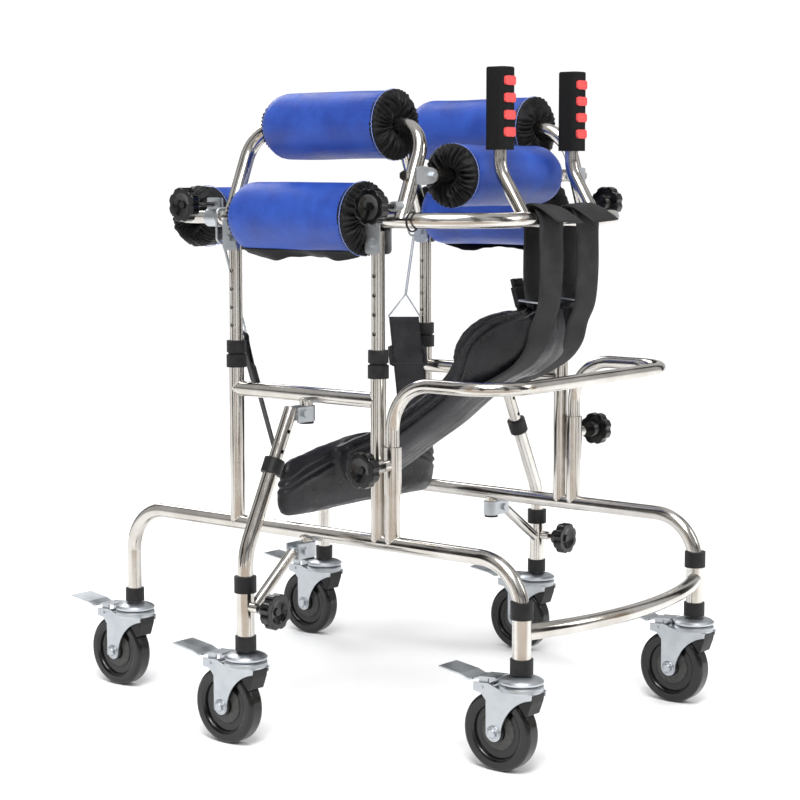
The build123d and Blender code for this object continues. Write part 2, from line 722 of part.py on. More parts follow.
with BuildPart() as caster_fork:
    with BuildSketch(Plane.XZ):
        with BuildLine():
            Polyline(
                (0, crown_bottom_z), (33, crown_bottom_z), (35, 134), (34.5, 139), (31, 141.5),
                (24, 141.5), (24, 144), (34, 144), (35, 147), (31.5, 150),
            )
            ThreePointArc((31.5, 150), (22, 153.6), (10, crown_top_z))
            Polyline(
                (10, crown_top_z), (stem_d / 2, crown_top_z), (stem_d / 2, cap_bottom_z + 40),
                (0, cap_bottom_z + 40), (0, crown_bottom_z),
            )
        make_face()
    revolve(axis=Axis.Z)
    for side in (-1, 1):
        with BuildSketch(Plane(origin=(side * fork_inside, 0, 0), x_dir=(0, 1, 0), z_dir=(1, 0, 0))):
            with BuildLine():
                Line((-32, crown_bottom_z + 2), (-31, 124))
                ThreePointArc((-31, 124), (6, 103), (trail - 13.7, wheel_r + 3))
                ThreePointArc((trail - 13.7, wheel_r + 3), (trail, wheel_r - 14), (trail + 14, wheel_r))
                Polyline(
                    (trail + 14, wheel_r), (trail + 14.5, 112), (62, 122), (76, 124), (76, 137),
                    (48, 139), (30, crown_bottom_z + 2), (-32, crown_bottom_z + 2),
                )
            make_face()
        extrude(amount=side * fork_sheet)
    with Locations((0, 8, crown_bottom_z - 1.0)):
        Box(2 * (fork_inside + fork_sheet), 78, 3.0)
    with Locations(Location((0, trail, wheel_r), (0, 90, 0))):
        Cylinder(axle_d / 2, 2 * (fork_inside + fork_sheet) + 14)
    for x in (-fork_inside - fork_sheet - 5, fork_inside + fork_sheet - 1):
        with BuildSketch(Plane(origin=(x, trail, wheel_r), z_dir=(1, 0, 0))):
            RegularPolygon(9.5, 6)
        extrude(amount=6)
    with Locations(Location((0, pivot_y, pivot_z), (0, 90, 0))):
        Cylinder(2.5, 2 * (fork_inside + fork_sheet) + 5)

with BuildPart() as caster_wheel:
    with BuildSketch(Plane(origin=(0, trail, wheel_r), x_dir=(0, 0, 1), z_dir=(0, 1, 0))):
        with Locations((42.0 + (wheel_r - 42.0) / 2, 0)):
            RectangleRounded(wheel_r - 42.0, wheel_w, 7.0)
        with Locations((30.0, 0)):
            Rectangle(36.0, 16.0)
        with Locations((6.1 + 5, 0)):
            Rectangle(10.0, 2 * fork_inside - 1)
    revolve(axis=Axis((0, trail, wheel_r), (1, 0, 0)))

lever_top = [(37, 149), (64, 147), (84, 142), (98, 147), (142, 153)]
lever_t = 2.6
with BuildPart() as caster_pedal:
    lever_side = lever_top + [(y, z - lever_t) for y, z in reversed(lever_top)]
    with BuildSketch(Plane(origin=(0, 0, 0), x_dir=(0, 1, 0), z_dir=(1, 0, 0))):
        Polygon(*lever_side, align=None)
    extrude(amount=23.0, both=True)
    for side in (-1, 1):
        with Locations((side * 20.2, 57.0, 145.0)):
            Box(6.4, 42.0, 20.0, mode=Mode.SUBTRACT)
    for side in (-1, 1):
        with Locations((side * 15.2, pivot_y, 136.0)):
            Box(2.6, 17.0, 22.0)
    with Locations(Location((0, pivot_y, pivot_z), (0, 90, 0))):
        Cylinder(2.65, 60, mode=Mode.SUBTRACT)

caster_places = {
    "right_front": (-half_width, front_leg_y),
    "left_front": (half_width, front_leg_y),
    "right_rear": (-half_width, rear_leg_y),
    "left_rear": (half_width, rear_leg_y),
    "right_outrigger": (-foot_x, outrigger_y),
    "left_outrigger": (foot_x, outrigger_y),
}
caster_pieces = {"fork": caster_fork.part, "wheel": caster_wheel.part, "pedal": caster_pedal.part}
for place, (x, y) in caster_places.items():
    for name, piece in caster_pieces.items():
        finish(piece.moved(Location((x, y, 0))), f"{place}_{name}")
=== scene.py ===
# %% [markdown]
# # A rehabilitation walker, dressed in Blender
# The walker stands on six casters. Its lower frame is bent stainless tube; its upper frame carries
# five blue arm and body rolls, two finger grips and a black saddle sling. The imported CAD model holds
# every tube, bracket and wheel in its true place, so this lesson adds what CAD leaves plain: the
# finish of each metal and plastic, and everything that is sewn.

# %% Load the frame
import json
import math

import bmesh
import bpy
import numpy as np
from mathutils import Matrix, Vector, noise
from mathutils.kdtree import KDTree


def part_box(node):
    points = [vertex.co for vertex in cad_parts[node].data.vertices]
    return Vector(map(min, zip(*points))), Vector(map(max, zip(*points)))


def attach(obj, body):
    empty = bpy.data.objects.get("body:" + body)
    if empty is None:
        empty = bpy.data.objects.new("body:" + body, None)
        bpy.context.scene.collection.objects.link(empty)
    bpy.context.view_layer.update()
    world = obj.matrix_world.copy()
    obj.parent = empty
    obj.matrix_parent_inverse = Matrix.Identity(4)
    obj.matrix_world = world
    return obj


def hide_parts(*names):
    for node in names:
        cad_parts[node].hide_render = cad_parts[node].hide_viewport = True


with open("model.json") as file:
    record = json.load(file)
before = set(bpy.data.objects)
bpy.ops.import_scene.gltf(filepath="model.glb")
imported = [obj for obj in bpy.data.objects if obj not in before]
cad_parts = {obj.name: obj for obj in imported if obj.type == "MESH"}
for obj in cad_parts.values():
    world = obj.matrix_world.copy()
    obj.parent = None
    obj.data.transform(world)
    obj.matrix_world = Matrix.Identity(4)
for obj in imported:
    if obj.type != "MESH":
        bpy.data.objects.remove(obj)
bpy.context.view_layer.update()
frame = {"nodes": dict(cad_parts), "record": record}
MM = 0.001

# %% [markdown]
# ## Places come from the frame
# A piece is placed from the box of the CAD node that it belongs to, so nothing has to be fitted.

# %% Places worked out from the nodes' boxes


def low(node):
    """Lowest corner of a CAD node."""
    return Vector(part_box(node)[0])


def high(node):
    """Highest corner of a CAD node."""
    return Vector(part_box(node)[1])


def middle(node):
    """Middle of a CAD node's box."""
    return (low(node) + high(node)) / 2


TUBE_R = 12.5 * MM
SLIM_R = 11.0 * MM
rail_x = high("mid_rails").x - TUBE_R
ring_z = middle("top_ring").z
ring_front_y = low("top_ring").y + TUBE_R
post_ys = [low("telescopic_posts").y + SLIM_R, high("telescopic_posts").y - SLIM_R]
CASTERS = ["right_front", "left_front", "right_rear", "left_rear", "right_outrigger", "left_outrigger"]
print("ring at", round(ring_z, 4), "posts at", [round(y, 4) for y in post_ys])

# %% [markdown]
# ## The camera
# A long lens looks a little down on the walker from its front right. Polished tube only looks like
# metal when it has something dark to reflect, so the stage at the end gets dark cards as well as light.

# %% Camera
AZIMUTH = math.radians(-51.44)
TILT = math.radians(6.455)
camera_data = bpy.data.cameras.new("camera")
camera_data.sensor_width = 36.0
camera_data.lens = 88.76
camera = bpy.data.objects.new("camera", camera_data)
bpy.context.scene.collection.objects.link(camera)
wheelbase_mid_y = middle("side_rails").y
camera.location = (-2.6838, wheelbase_mid_y - 2.1173, 0.913)
ahead = Vector((-math.sin(AZIMUTH) * math.cos(TILT), math.cos(AZIMUTH) * math.cos(TILT), -math.sin(TILT)))
camera.rotation_euler = ahead.to_track_quat("-Z", "Y").to_euler()
bpy.context.scene.camera = camera

# %% [markdown]
# ## Shader maths as plain Python
# A socket is wrapped in a small class, so a mask or a mix is written as an expression and each
# operator adds its own Math node.

# %% The socket class and the material builder


class Wire:
    """An output socket that can be added, multiplied and so on; each operation is a Math node."""

    def __init__(self, paint, socket):
        self.paint = paint
        self.socket = socket

    def math(self, operation, a, b=0.0, clamp=False):
        settings = {"operation": operation, "use_clamp": clamp}
        return self.paint.node("ShaderNodeMath", settings, {0: a, 1: b})

    def __add__(self, other):
        return self.math("ADD", self, other)

    def __radd__(self, other):
        return self.math("ADD", other, self)

    def __sub__(self, other):
        return self.math("SUBTRACT", self, other)

    def __rsub__(self, other):
        return self.math("SUBTRACT", other, self)

    def __mul__(self, other):
        return self.math("MULTIPLY", self, other)

    def __rmul__(self, other):
        return self.math("MULTIPLY", other, self)

    def clamped(self):
        return self.math("ADD", self, 0.0, clamp=True)

    def sine(self):
        return self.math("SINE", self)


class Paint:
    """Builds one Principled material; node() makes any node and returns its first output."""

    def __init__(self, name, color, **numbers):
        self.material = bpy.data.materials.new(name)
        self.material.use_nodes = True
        self.tree = self.material.node_tree
        self.shader = self.tree.nodes["Principled BSDF"]
        self.set("Base Color", (*color, 1.0))
        for key, value in numbers.items():
            self.set(key.replace("_", " ").title().replace("Ior", "IOR"), value)

    def set(self, socket, value):
        if isinstance(value, Wire):
            self.tree.links.new(value.socket, self.shader.inputs[socket])
        else:
            self.shader.inputs[socket].default_value = value

    def node(self, kind, settings=None, inputs=None, output=0):
        made = self.tree.nodes.new(kind)
        for key, value in (settings or {}).items():
            setattr(made, key, value)
        for key, value in (inputs or {}).items():
            if isinstance(value, Wire):
                self.tree.links.new(value.socket, made.inputs[key])
            else:
                made.inputs[key].default_value = value
        return Wire(self, made.outputs[output])

    def place(self, stretch=(1.0, 1.0, 1.0)):
        """The point in the walker's own metres, stretched."""
        here = self.node("ShaderNodeTexCoord", output=3)
        return self.node("ShaderNodeMapping", {}, {"Vector": here, "Scale": stretch})

    def grain(self, scale, detail=3.0, rough=0.5, stretch=(1.0, 1.0, 1.0)):
        """Noise from 0 to 1 at so many cells per metre."""
        inputs = {"Vector": self.place(stretch), "Scale": scale, "Detail": detail, "Roughness": rough}
        return self.node("ShaderNodeTexNoise", {}, inputs)

    def mix(self, factor, dark, light):
        """A colour from dark to light."""
        settings = {"data_type": "RGBA"}
        inputs = {0: factor, 6: (*dark, 1.0), 7: (*light, 1.0)}
        return self.node("ShaderNodeMix", settings, inputs, output=2)

    def bump(self, height, distance, strength=1.0):
        inputs = {"Height": height, "Distance": distance, "Strength": strength}
        self.set("Normal", self.node("ShaderNodeBump", {}, inputs))


def spread(wire, floor, ceiling):
    """The middle of a noise, 0.35 to 0.65, spread between two values."""
    return ((wire - 0.35) * (1 / 0.3)).clamped() * (ceiling - floor) + floor


# %% [markdown]
# ## Metals
# The tubes are polished stainless: nearly a mirror, a little warm, with faint drawn lines and
# smudges in the roughness. Forks, pedals and brackets are zinc plated: bluer, softer and mottled.

# %% Stainless tube and zinc plate
steel = Paint("stainless", (0.66, 0.63, 0.59), metallic=1.0)
drawn = steel.grain(900.0, 2.0, 0.6, (1.0, 1.0, 0.06))
smudge = steel.grain(14.0, 4.0, 0.6)
steel.set("Base Color", steel.mix(spread(smudge, 0.0, 1.0), (0.55, 0.52, 0.48), (0.70, 0.68, 0.65)))
steel.set("Roughness", spread(smudge, 0.10, 0.20) + drawn * 0.06)
steel.bump(drawn, 0.00004, 0.25)

zinc = Paint("zinc_plate", (0.60, 0.65, 0.70), metallic=1.0)
spangle = zinc.node(
    "ShaderNodeTexVoronoi", {"feature": "F1"}, {"Vector": zinc.place(), "Scale": 260.0}, output=0
)
mottle = zinc.grain(28.0, 3.0, 0.5)
zinc.set("Base Color", zinc.mix(spread(mottle, 0.0, 1.0), (0.46, 0.49, 0.52), (0.58, 0.61, 0.64)))
zinc.set("Roughness", spread(mottle, 0.30, 0.44) + spangle * 0.05)
zinc.bump(spangle, 0.00003, 0.1)
print("metals", steel.material.name, zinc.material.name)

# %% [markdown]
# ## Plastics, rubber and foam
# Moulded collars are satin with a fine leather grain. The knobs are pressed from glossy phenolic.
# The wheels are hard polyurethane that picks up dust on the tread. The grips are closed-cell foam.

# %% Moulded finishes
collar = Paint("black_collar", (0.012, 0.012, 0.013), specular_ior_level=0.3)
pebble = collar.grain(1400.0, 2.0)
haze = collar.grain(40.0, 3.0)
collar.set("Base Color", collar.mix(spread(haze, 0.0, 1.0), (0.008, 0.008, 0.009), (0.018, 0.018, 0.019)))
collar.set("Roughness", spread(haze, 0.42, 0.58))
collar.bump(pebble, 0.0001, 0.5)

knob = Paint("glossy_knob", (0.004, 0.004, 0.005), specular_ior_level=0.5)
flow = knob.grain(55.0, 3.0)
knob.set("Base Color", knob.mix(spread(flow, 0.0, 1.0), (0.003, 0.003, 0.003), (0.007, 0.007, 0.008)))
knob.set("Roughness", spread(flow, 0.10, 0.22))
knob.bump(flow, 0.0004, 0.2)

tyre = Paint("wheel_black", (0.005, 0.005, 0.005), specular_ior_level=0.45)
dust = tyre.grain(90.0, 5.0, 0.65)
tyre.set("Base Color", tyre.mix(spread(dust, 0.0, 1.0), (0.004, 0.004, 0.004), (0.010, 0.010, 0.010)))
tyre.set("Roughness", spread(dust, 0.12, 0.24))
tyre.bump(dust, 0.0001, 0.15)

hub_grey = Paint("hub_grey", (0.10, 0.10, 0.095))
turned = hub_grey.grain(160.0, 4.0)
hub_tone = spread(turned, 0.0, 1.0)
hub_grey.set("Base Color", hub_grey.mix(hub_tone, (0.025, 0.025, 0.024), (0.055, 0.055, 0.052)))
hub_grey.set("Roughness", spread(turned, 0.40, 0.6))
hub_grey.bump(turned, 0.0001, 0.4)

foam = Paint("grip_foam", (0.010, 0.010, 0.010), specular_ior_level=0.12)
cells = foam.node("ShaderNodeTexVoronoi", {"feature": "F1"}, {"Vector": foam.place(), "Scale": 1100.0})
foam.set("Base Color", foam.mix(cells.clamped(), (0.005, 0.005, 0.005), (0.016, 0.016, 0.017)))
foam.set("Roughness", spread(foam.grain(50.0), 0.72, 0.9))
foam.bump(cells, 0.0004, 0.7)

red = Paint("finger_red", (0.80, 0.07, 0.07), subsurface_weight=0.0)
red_tone = red.grain(300.0, 3.0)
red.set("Base Color", red.mix(spread(red_tone, 0.0, 1.0), (0.60, 0.045, 0.045), (0.78, 0.085, 0.08)))
red.set("Roughness", spread(red_tone, 0.45, 0.62))
red.bump(red_tone, 0.0002, 0.4)

# %% [markdown]
# ## Cloth and padding
# The roll covers are a close plain weave of blue nylon. A weave is two sets of threads, so its bump
# is a product of two sines. The gathered ends and straps are black; the saddle has a leather-like
# coat over padding, with long soft creases.

# %% Woven and coated finishes


def weave(paint, threads_per_metre):
    """A plain weave's height, from the object's own coordinates along two slanted directions."""
    turn = 2 * math.pi * threads_per_metre
    split = paint.node("ShaderNodeSeparateXYZ", {}, {0: paint.place()})
    across = Wire(paint, split.socket.node.outputs[0])
    along = Wire(paint, split.socket.node.outputs[1])
    up = Wire(paint, split.socket.node.outputs[2])
    return ((across + up) * turn).sine() * ((along - up) * turn).sine()


def cloth(name, dark, light, threads, rough, shine):
    """A woven cover: tone from soft blotches, bump from its threads and small puckers."""
    paint = Paint(name, light, specular_ior_level=shine)
    blotch = paint.grain(18.0, 4.0, 0.55)
    thread = weave(paint, threads)
    pucker = paint.grain(55.0, 3.0, 0.5)
    tone = (spread(blotch, 0.0, 0.8) + thread * 0.12 + 0.1).clamped()
    paint.set("Base Color", paint.mix(tone, dark, light))
    paint.set("Roughness", spread(blotch, rough - 0.06, rough + 0.08))
    paint.bump(thread * 0.06 + pucker * 1.0, 0.0016, 0.55)
    return paint


blue = cloth("roll_blue", (0.010, 0.040, 0.26), (0.020, 0.078, 0.42), 620, 0.42, 0.45)
gather = cloth("gathered_black", (0.004, 0.004, 0.005), (0.014, 0.014, 0.015), 700, 0.50, 0.18)

saddle = Paint("saddle_black", (0.012, 0.012, 0.015), specular_ior_level=0.42)
crease = saddle.grain(24.0, 5.0, 0.6)
hide = saddle.node("ShaderNodeTexVoronoi", {"feature": "F1"}, {"Vector": saddle.place(), "Scale": 800.0})
# The colour follows the crease noise that also drives the bump: lighter on the rises and darker down in each
# crease, which is painted shade.
saddle.set("Base Color", saddle.mix(spread(crease, 0.0, 1.0), (0.005, 0.005, 0.007), (0.015, 0.015, 0.019)))
saddle.set("Roughness", spread(crease, 0.26, 0.42))
saddle.bump(hide * 0.12 + crease, 0.004, 0.5)

webbing = Paint("webbing_black", (0.012, 0.012, 0.013), specular_ior_level=0.3)
strap_map = webbing.node("ShaderNodeUVMap", {"uv_map": "weave"})
strap_uv = webbing.node("ShaderNodeSeparateXYZ", {}, {0: strap_map})
rib_along = Wire(webbing, strap_uv.socket.node.outputs[0])
rib_across = Wire(webbing, strap_uv.socket.node.outputs[1])
rib = (rib_along * (2 * math.pi * 420)).sine() * 0.6 + (rib_across * (2 * math.pi * 300)).sine()
web_tone = webbing.grain(30.0, 4.0)
web_shade = spread(web_tone, 0.0, 1.0)
webbing.set("Base Color", webbing.mix(web_shade, (0.011, 0.011, 0.012), (0.028, 0.028, 0.030)))
webbing.set("Roughness", spread(web_tone, 0.6, 0.78))
webbing.bump(rib, 0.0003, 0.6)

thread_blue = cloth("seam_thread", (0.16, 0.24, 0.62), (0.30, 0.40, 0.85), 900, 0.6, 0.3)

# %% [markdown]
# ## Finishes for the CAD nodes that stay
# Every tube, plate and moulding is already the right shape, so it only changes its material.

# %% Assign materials
SLOT_PAINT = {
    "stainless": steel, "zinc": zinc, "black_plastic": collar, "knob_black": knob,
    "wheel_black": tyre, "grip_foam": foam, "insert_red": red, "cover_blue": blue,
    "saddle_black": saddle, "strap_black": webbing,
}
for subpart in frame["record"]["subparts"]:
    node_object = frame["nodes"][subpart["node"]]
    for index in range(max(1, len(node_object.material_slots))):
        if not node_object.material_slots:
            node_object.data.materials.append(None)
        node_object.material_slots[index].material = SLOT_PAINT[subpart["material_slot"]].material
print("painted", len(frame["nodes"]), "nodes")

# %% [markdown]
# ## Helpers for meshes
# Everything below is made of rings, strips and extrusions, so three small helpers are enough: one
# that makes an object, one that joins rows of points with faces, and one that smooths a path.

# %% Mesh helpers


def make(name, points, faces, paint, smooth=True):
    """A mesh object at the origin, with its faces turned outwards."""
    data = bpy.data.meshes.new(name)
    data.from_pydata([tuple(p) for p in points], [], faces)
    data.validate()
    piece = bpy.data.objects.new(name, data)
    bpy.context.scene.collection.objects.link(piece)
    data.materials.append(paint.material)
    tidy(piece, smooth)
    return piece


def tidy(piece, smooth=True):
    """Merges doubles and turns every face outwards."""
    work = bmesh.new()
    work.from_mesh(piece.data)
    bmesh.ops.remove_doubles(work, verts=work.verts, dist=1e-6)
    bmesh.ops.recalc_face_normals(work, faces=work.faces)
    for face in work.faces:
        face.smooth = smooth
    work.to_mesh(piece.data)
    work.free()


def grid_faces(rows, columns, closed_columns=True, closed_rows=False):
    """Quads over rows of points, wrapping round where a direction is closed."""
    faces = []
    for row in range(rows if closed_rows else rows - 1):
        for column in range(columns if closed_columns else columns - 1):
            a = row * columns + column
            b = row * columns + (column + 1) % columns
            c = ((row + 1) % rows) * columns + (column + 1) % columns
            d = ((row + 1) % rows) * columns + column
            faces.append((a, b, c, d))
    return faces


def smooth_path(points, count):
    """Evenly spaced points on a smooth curve through a few points."""
    knots = [Vector(p) for p in points]
    knots = [knots[0] * 2 - knots[1], *knots, knots[-1] * 2 - knots[-2]]
    dense = []
    for i in range(1, len(knots) - 2):
        for step in range(24):
            t = step / 24
            a, b, c, d = knots[i - 1], knots[i], knots[i + 1], knots[i + 2]
            square, cube = 2 * a - 5 * b + 4 * c - d, 3 * b - a - 3 * c + d
            dense.append(0.5 * (2 * b + (c - a) * t + square * t**2 + cube * t**3))
    dense.append(knots[-2])
    reach = np.cumsum([0.0] + [(q - p).length for p, q in zip(dense, dense[1:])])
    wanted = np.linspace(0, reach[-1], count)
    return [Vector([np.interp(w, reach, [p[k] for p in dense]) for k in range(3)]) for w in wanted]


def dress(piece, body, slot_name, *nodes):
    """Rides a finished piece on its body and hides what it stands for; slot_name is not used."""
    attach(piece, body)
    if nodes:
        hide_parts(*nodes)


def join(name, parts):
    """Joins objects into one piece."""
    bpy.ops.object.select_all(action="DESELECT")
    for part in parts:
        part.select_set(True)
    bpy.context.view_layer.objects.active = parts[0]
    bpy.ops.object.join()
    parts[0].name = name
    parts[0].data.name = name
    return parts[0]


# %% [markdown]
# ## A row of beads with Geometry Nodes
# A seam's stitches and a weld's ripples are the same idea: small beads laid evenly along a curve.
# One tree does both. Its inputs are the spacing, the bead's thickness and how far it is stretched
# along the curve.

# %% The bead row tree


def bead_tree():
    tree = bpy.data.node_groups.new("bead_row", "GeometryNodeTree")
    face = tree.interface
    face.new_socket("Geometry", in_out="INPUT", socket_type="NodeSocketGeometry")
    for name in ("Spacing", "Thickness", "Stretch"):
        face.new_socket(name, in_out="INPUT", socket_type="NodeSocketFloat")
    face.new_socket("Finish", in_out="INPUT", socket_type="NodeSocketMaterial")
    face.new_socket("Geometry", in_out="OUTPUT", socket_type="NodeSocketGeometry")
    add, link = tree.nodes.new, tree.links.new
    start, end = add("NodeGroupInput"), add("NodeGroupOutput")
    resample = add("GeometryNodeResampleCurve")
    resample.mode = "LENGTH"
    link(start.outputs["Geometry"], resample.inputs["Curve"])
    link(start.outputs["Spacing"], resample.inputs["Length"])
    bead = add("GeometryNodeMeshUVSphere")
    bead.inputs["Segments"].default_value = 6
    bead.inputs["Rings"].default_value = 4
    bead.inputs["Radius"].default_value = 1.0
    size = add("ShaderNodeCombineXYZ")
    longer = add("ShaderNodeMath")
    longer.operation = "MULTIPLY"
    link(start.outputs["Thickness"], longer.inputs[0])
    link(start.outputs["Stretch"], longer.inputs[1])
    link(start.outputs["Thickness"], size.inputs[0])
    link(start.outputs["Thickness"], size.inputs[1])
    link(longer.outputs[0], size.inputs[2])
    turn = add("FunctionNodeAlignEulerToVector")
    turn.axis = "Z"
    tangent = add("GeometryNodeInputTangent")
    link(tangent.outputs[0], turn.inputs["Vector"])
    place = add("GeometryNodeInstanceOnPoints")
    link(resample.outputs["Curve"], place.inputs["Points"])
    link(bead.outputs["Mesh"], place.inputs["Instance"])
    link(turn.outputs["Rotation"], place.inputs["Rotation"])
    link(size.outputs[0], place.inputs["Scale"])
    real = add("GeometryNodeRealizeInstances")
    link(place.outputs["Instances"], real.inputs["Geometry"])
    finish = add("GeometryNodeSetMaterial")
    link(real.outputs["Geometry"], finish.inputs["Geometry"])
    link(start.outputs["Finish"], finish.inputs["Material"])
    link(finish.outputs["Geometry"], end.inputs["Geometry"])
    return tree


BEADS = bead_tree()


def bead_row(name, lines, spacing, thickness, stretch, paint):
    """One mesh of beads along several lines; each line is a list of points and is closed or not."""
    curve = bpy.data.curves.new(name, "CURVE")
    curve.dimensions = "3D"
    for points, closed in lines:
        spline = curve.splines.new("POLY")
        spline.points.add(len(points) - 1)
        for spot, point in zip(spline.points, points):
            spot.co = (*point, 1.0)
        spline.use_cyclic_u = closed
    holder = bpy.data.objects.new(name, curve)
    bpy.context.scene.collection.objects.link(holder)
    nodes = holder.modifiers.new("beads", "NODES")
    nodes.node_group = BEADS
    values = {"Spacing": spacing, "Thickness": thickness, "Stretch": stretch, "Finish": paint.material}
    for item in BEADS.interface.items_tree:
        if item.in_out == "INPUT" and item.name in values:
            nodes[item.identifier] = values[item.name]
    graph = bpy.context.evaluated_depsgraph_get()
    graph.update()
    mesh = bpy.data.meshes.new_from_object(holder.evaluated_get(graph))
    bpy.data.objects.remove(holder)
    piece = bpy.data.objects.new(name, mesh)
    bpy.context.scene.collection.objects.link(piece)
    for face in mesh.polygons:
        face.use_smooth = True
    return piece


# %% [markdown]
# ## Padded rolls
# Each roll is a foam tube in a sewn blue cover whose ends are black cloth, gathered round the steel
# by a drawcord. The cover starts as a turned shape with soft shoulders; a cloth simulation blows it
# up a little, and puckers from the seam and shallow folds are pushed into it afterwards.

# %% Soft-body helper


def puff(piece, voxel, pressure, cap, frames=20):
    """Remeshes a closed pad and inflates it as cloth, moving no point further than the cap."""
    remesh = piece.modifiers.new("even", "REMESH")
    remesh.mode = "VOXEL"
    remesh.voxel_size = voxel
    graph = bpy.context.evaluated_depsgraph_get()
    mesh = bpy.data.meshes.new_from_object(piece.evaluated_get(graph))
    piece.modifiers.clear()
    piece.data = mesh
    start = np.array([v.co for v in mesh.vertices])
    cloth_mod = piece.modifiers.new("cloth", "CLOTH")
    cloth_mod.settings.use_pressure = True
    cloth_mod.settings.uniform_pressure_force = pressure
    cloth_mod.settings.effector_weights.gravity = 0.0
    scene = bpy.context.scene
    for step in range(1, frames + 1):
        scene.frame_set(step)
    graph = bpy.context.evaluated_depsgraph_get()
    blown = piece.evaluated_get(graph).to_mesh()
    moved = np.array([v.co for v in blown.vertices]) - start
    piece.evaluated_get(graph).to_mesh_clear()
    piece.modifiers.clear()
    scene.frame_set(1)
    length = np.linalg.norm(moved, axis=1, keepdims=True)
    moved *= np.minimum(1.0, cap / np.maximum(length, 1e-9))
    for vertex, point in zip(piece.data.vertices, start + moved):
        vertex.co = point
    for face in piece.data.polygons:
        face.use_smooth = True
    return piece


def soften(piece, factor, times):
    """Relaxes the surface so that voxel steps don't show."""
    smooth = piece.modifiers.new("relax", "SMOOTH")
    smooth.factor = factor
    smooth.iterations = times
    graph = bpy.context.evaluated_depsgraph_get()
    mesh = bpy.data.meshes.new_from_object(piece.evaluated_get(graph))
    piece.modifiers.clear()
    piece.data = mesh


def subdivide(piece, levels=1):
    """One level of subdivision, applied."""
    finer = piece.modifiers.new("finer", "SUBSURF")
    finer.levels = finer.render_levels = levels
    graph = bpy.context.evaluated_depsgraph_get()
    mesh = bpy.data.meshes.new_from_object(piece.evaluated_get(graph))
    piece.modifiers.clear()
    piece.data = mesh
    for face in mesh.polygons:
        face.use_smooth = True


# %% Shape of a roll


def roll_frame(start, end):
    """Length and three directions of a roll: along it, and two across."""
    along = (Vector(end) - Vector(start)).normalized()
    side = along.cross(Vector((0, 0, 1))).normalized()
    return (Vector(end) - Vector(start)).length, along, side, side.cross(along)


def shoulder(s, length, radius, round_start, round_end):
    """Radius at a distance along the roll: full between two rounded shoulders."""
    if s < round_start:
        shrink = 1 - math.sqrt(max(0.0, 1 - ((round_start - s) / round_start) ** 2))
        return radius - shrink * round_start * 0.8
    if s > length - round_end:
        shrink = 1 - math.sqrt(max(0.0, 1 - ((s - length + round_end) / round_end) ** 2))
        return radius - shrink * round_end * 0.8
    return radius


PUCKERS = 44  # round one seam
PLEATS = 15  # round one gathered end


def roll_cover(name, start, end, radius, round_start, round_end, caps, seed):
    """The blue cover, closed, puckered along both seams and softly folded between them."""
    length, along, side, up = roll_frame(start, end)
    around, rows = 72, 46
    points = []
    for row in range(rows):
        s = caps[0] + (length - caps[0] - caps[1]) * (0.5 - 0.5 * math.cos(math.pi * row / (rows - 1)))
        r = shoulder(s, length, radius - 1.5 * MM, round_start, round_end)
        for column in range(around):
            a = 2 * math.pi * column / around
            points.append(Vector(start) + along * s + side * (r * math.cos(a)) + up * (r * math.sin(a)))
    faces = grid_faces(rows, around)
    faces.append(tuple(range(around)))
    faces.append(tuple(range((rows - 1) * around, rows * around)))
    cover = make(name, points, faces, blue)
    puff(cover, 5 * MM, 4.0, 3 * MM)
    soften(cover, 0.5, 4)
    subdivide(cover)
    axis_start = Vector(start)
    first, last = caps[0] + 1 * MM, length - caps[1] - 1 * MM
    for vertex in cover.data.vertices:
        local = vertex.co - axis_start
        s = local.dot(along)
        a = math.atan2(local.dot(up), local.dot(side))
        radial = (local - along * s)
        reach = radial.length
        if s < first:
            vertex.co += along * (first - s)
        if s > last:
            vertex.co -= along * (s - last)
        if reach < radius * 0.5:
            continue
        radial.normalize()
        edge = min(s - caps[0], length - caps[1] - s)
        pucker = math.exp(-max(edge, 0) / (9 * MM)) * 0.9 * MM
        wobble = noise.noise(Vector((math.cos(a) * 2, math.sin(a) * 2, seed + s * 4)))
        fold = noise.noise(Vector((math.cos(a) * 1.1 + seed, math.sin(a) * 1.1, s * 9.0)))
        ridge = noise.noise(Vector((a * 2.2 + s * 7, s * 16, seed * 3.1)))
        push = pucker * math.sin(PUCKERS * a + 5 * wobble)
        push += 1.5 * MM * fold + 0.7 * MM * ridge * math.exp(-edge / (60 * MM))
        vertex.co = vertex.co + radial * push
    return cover


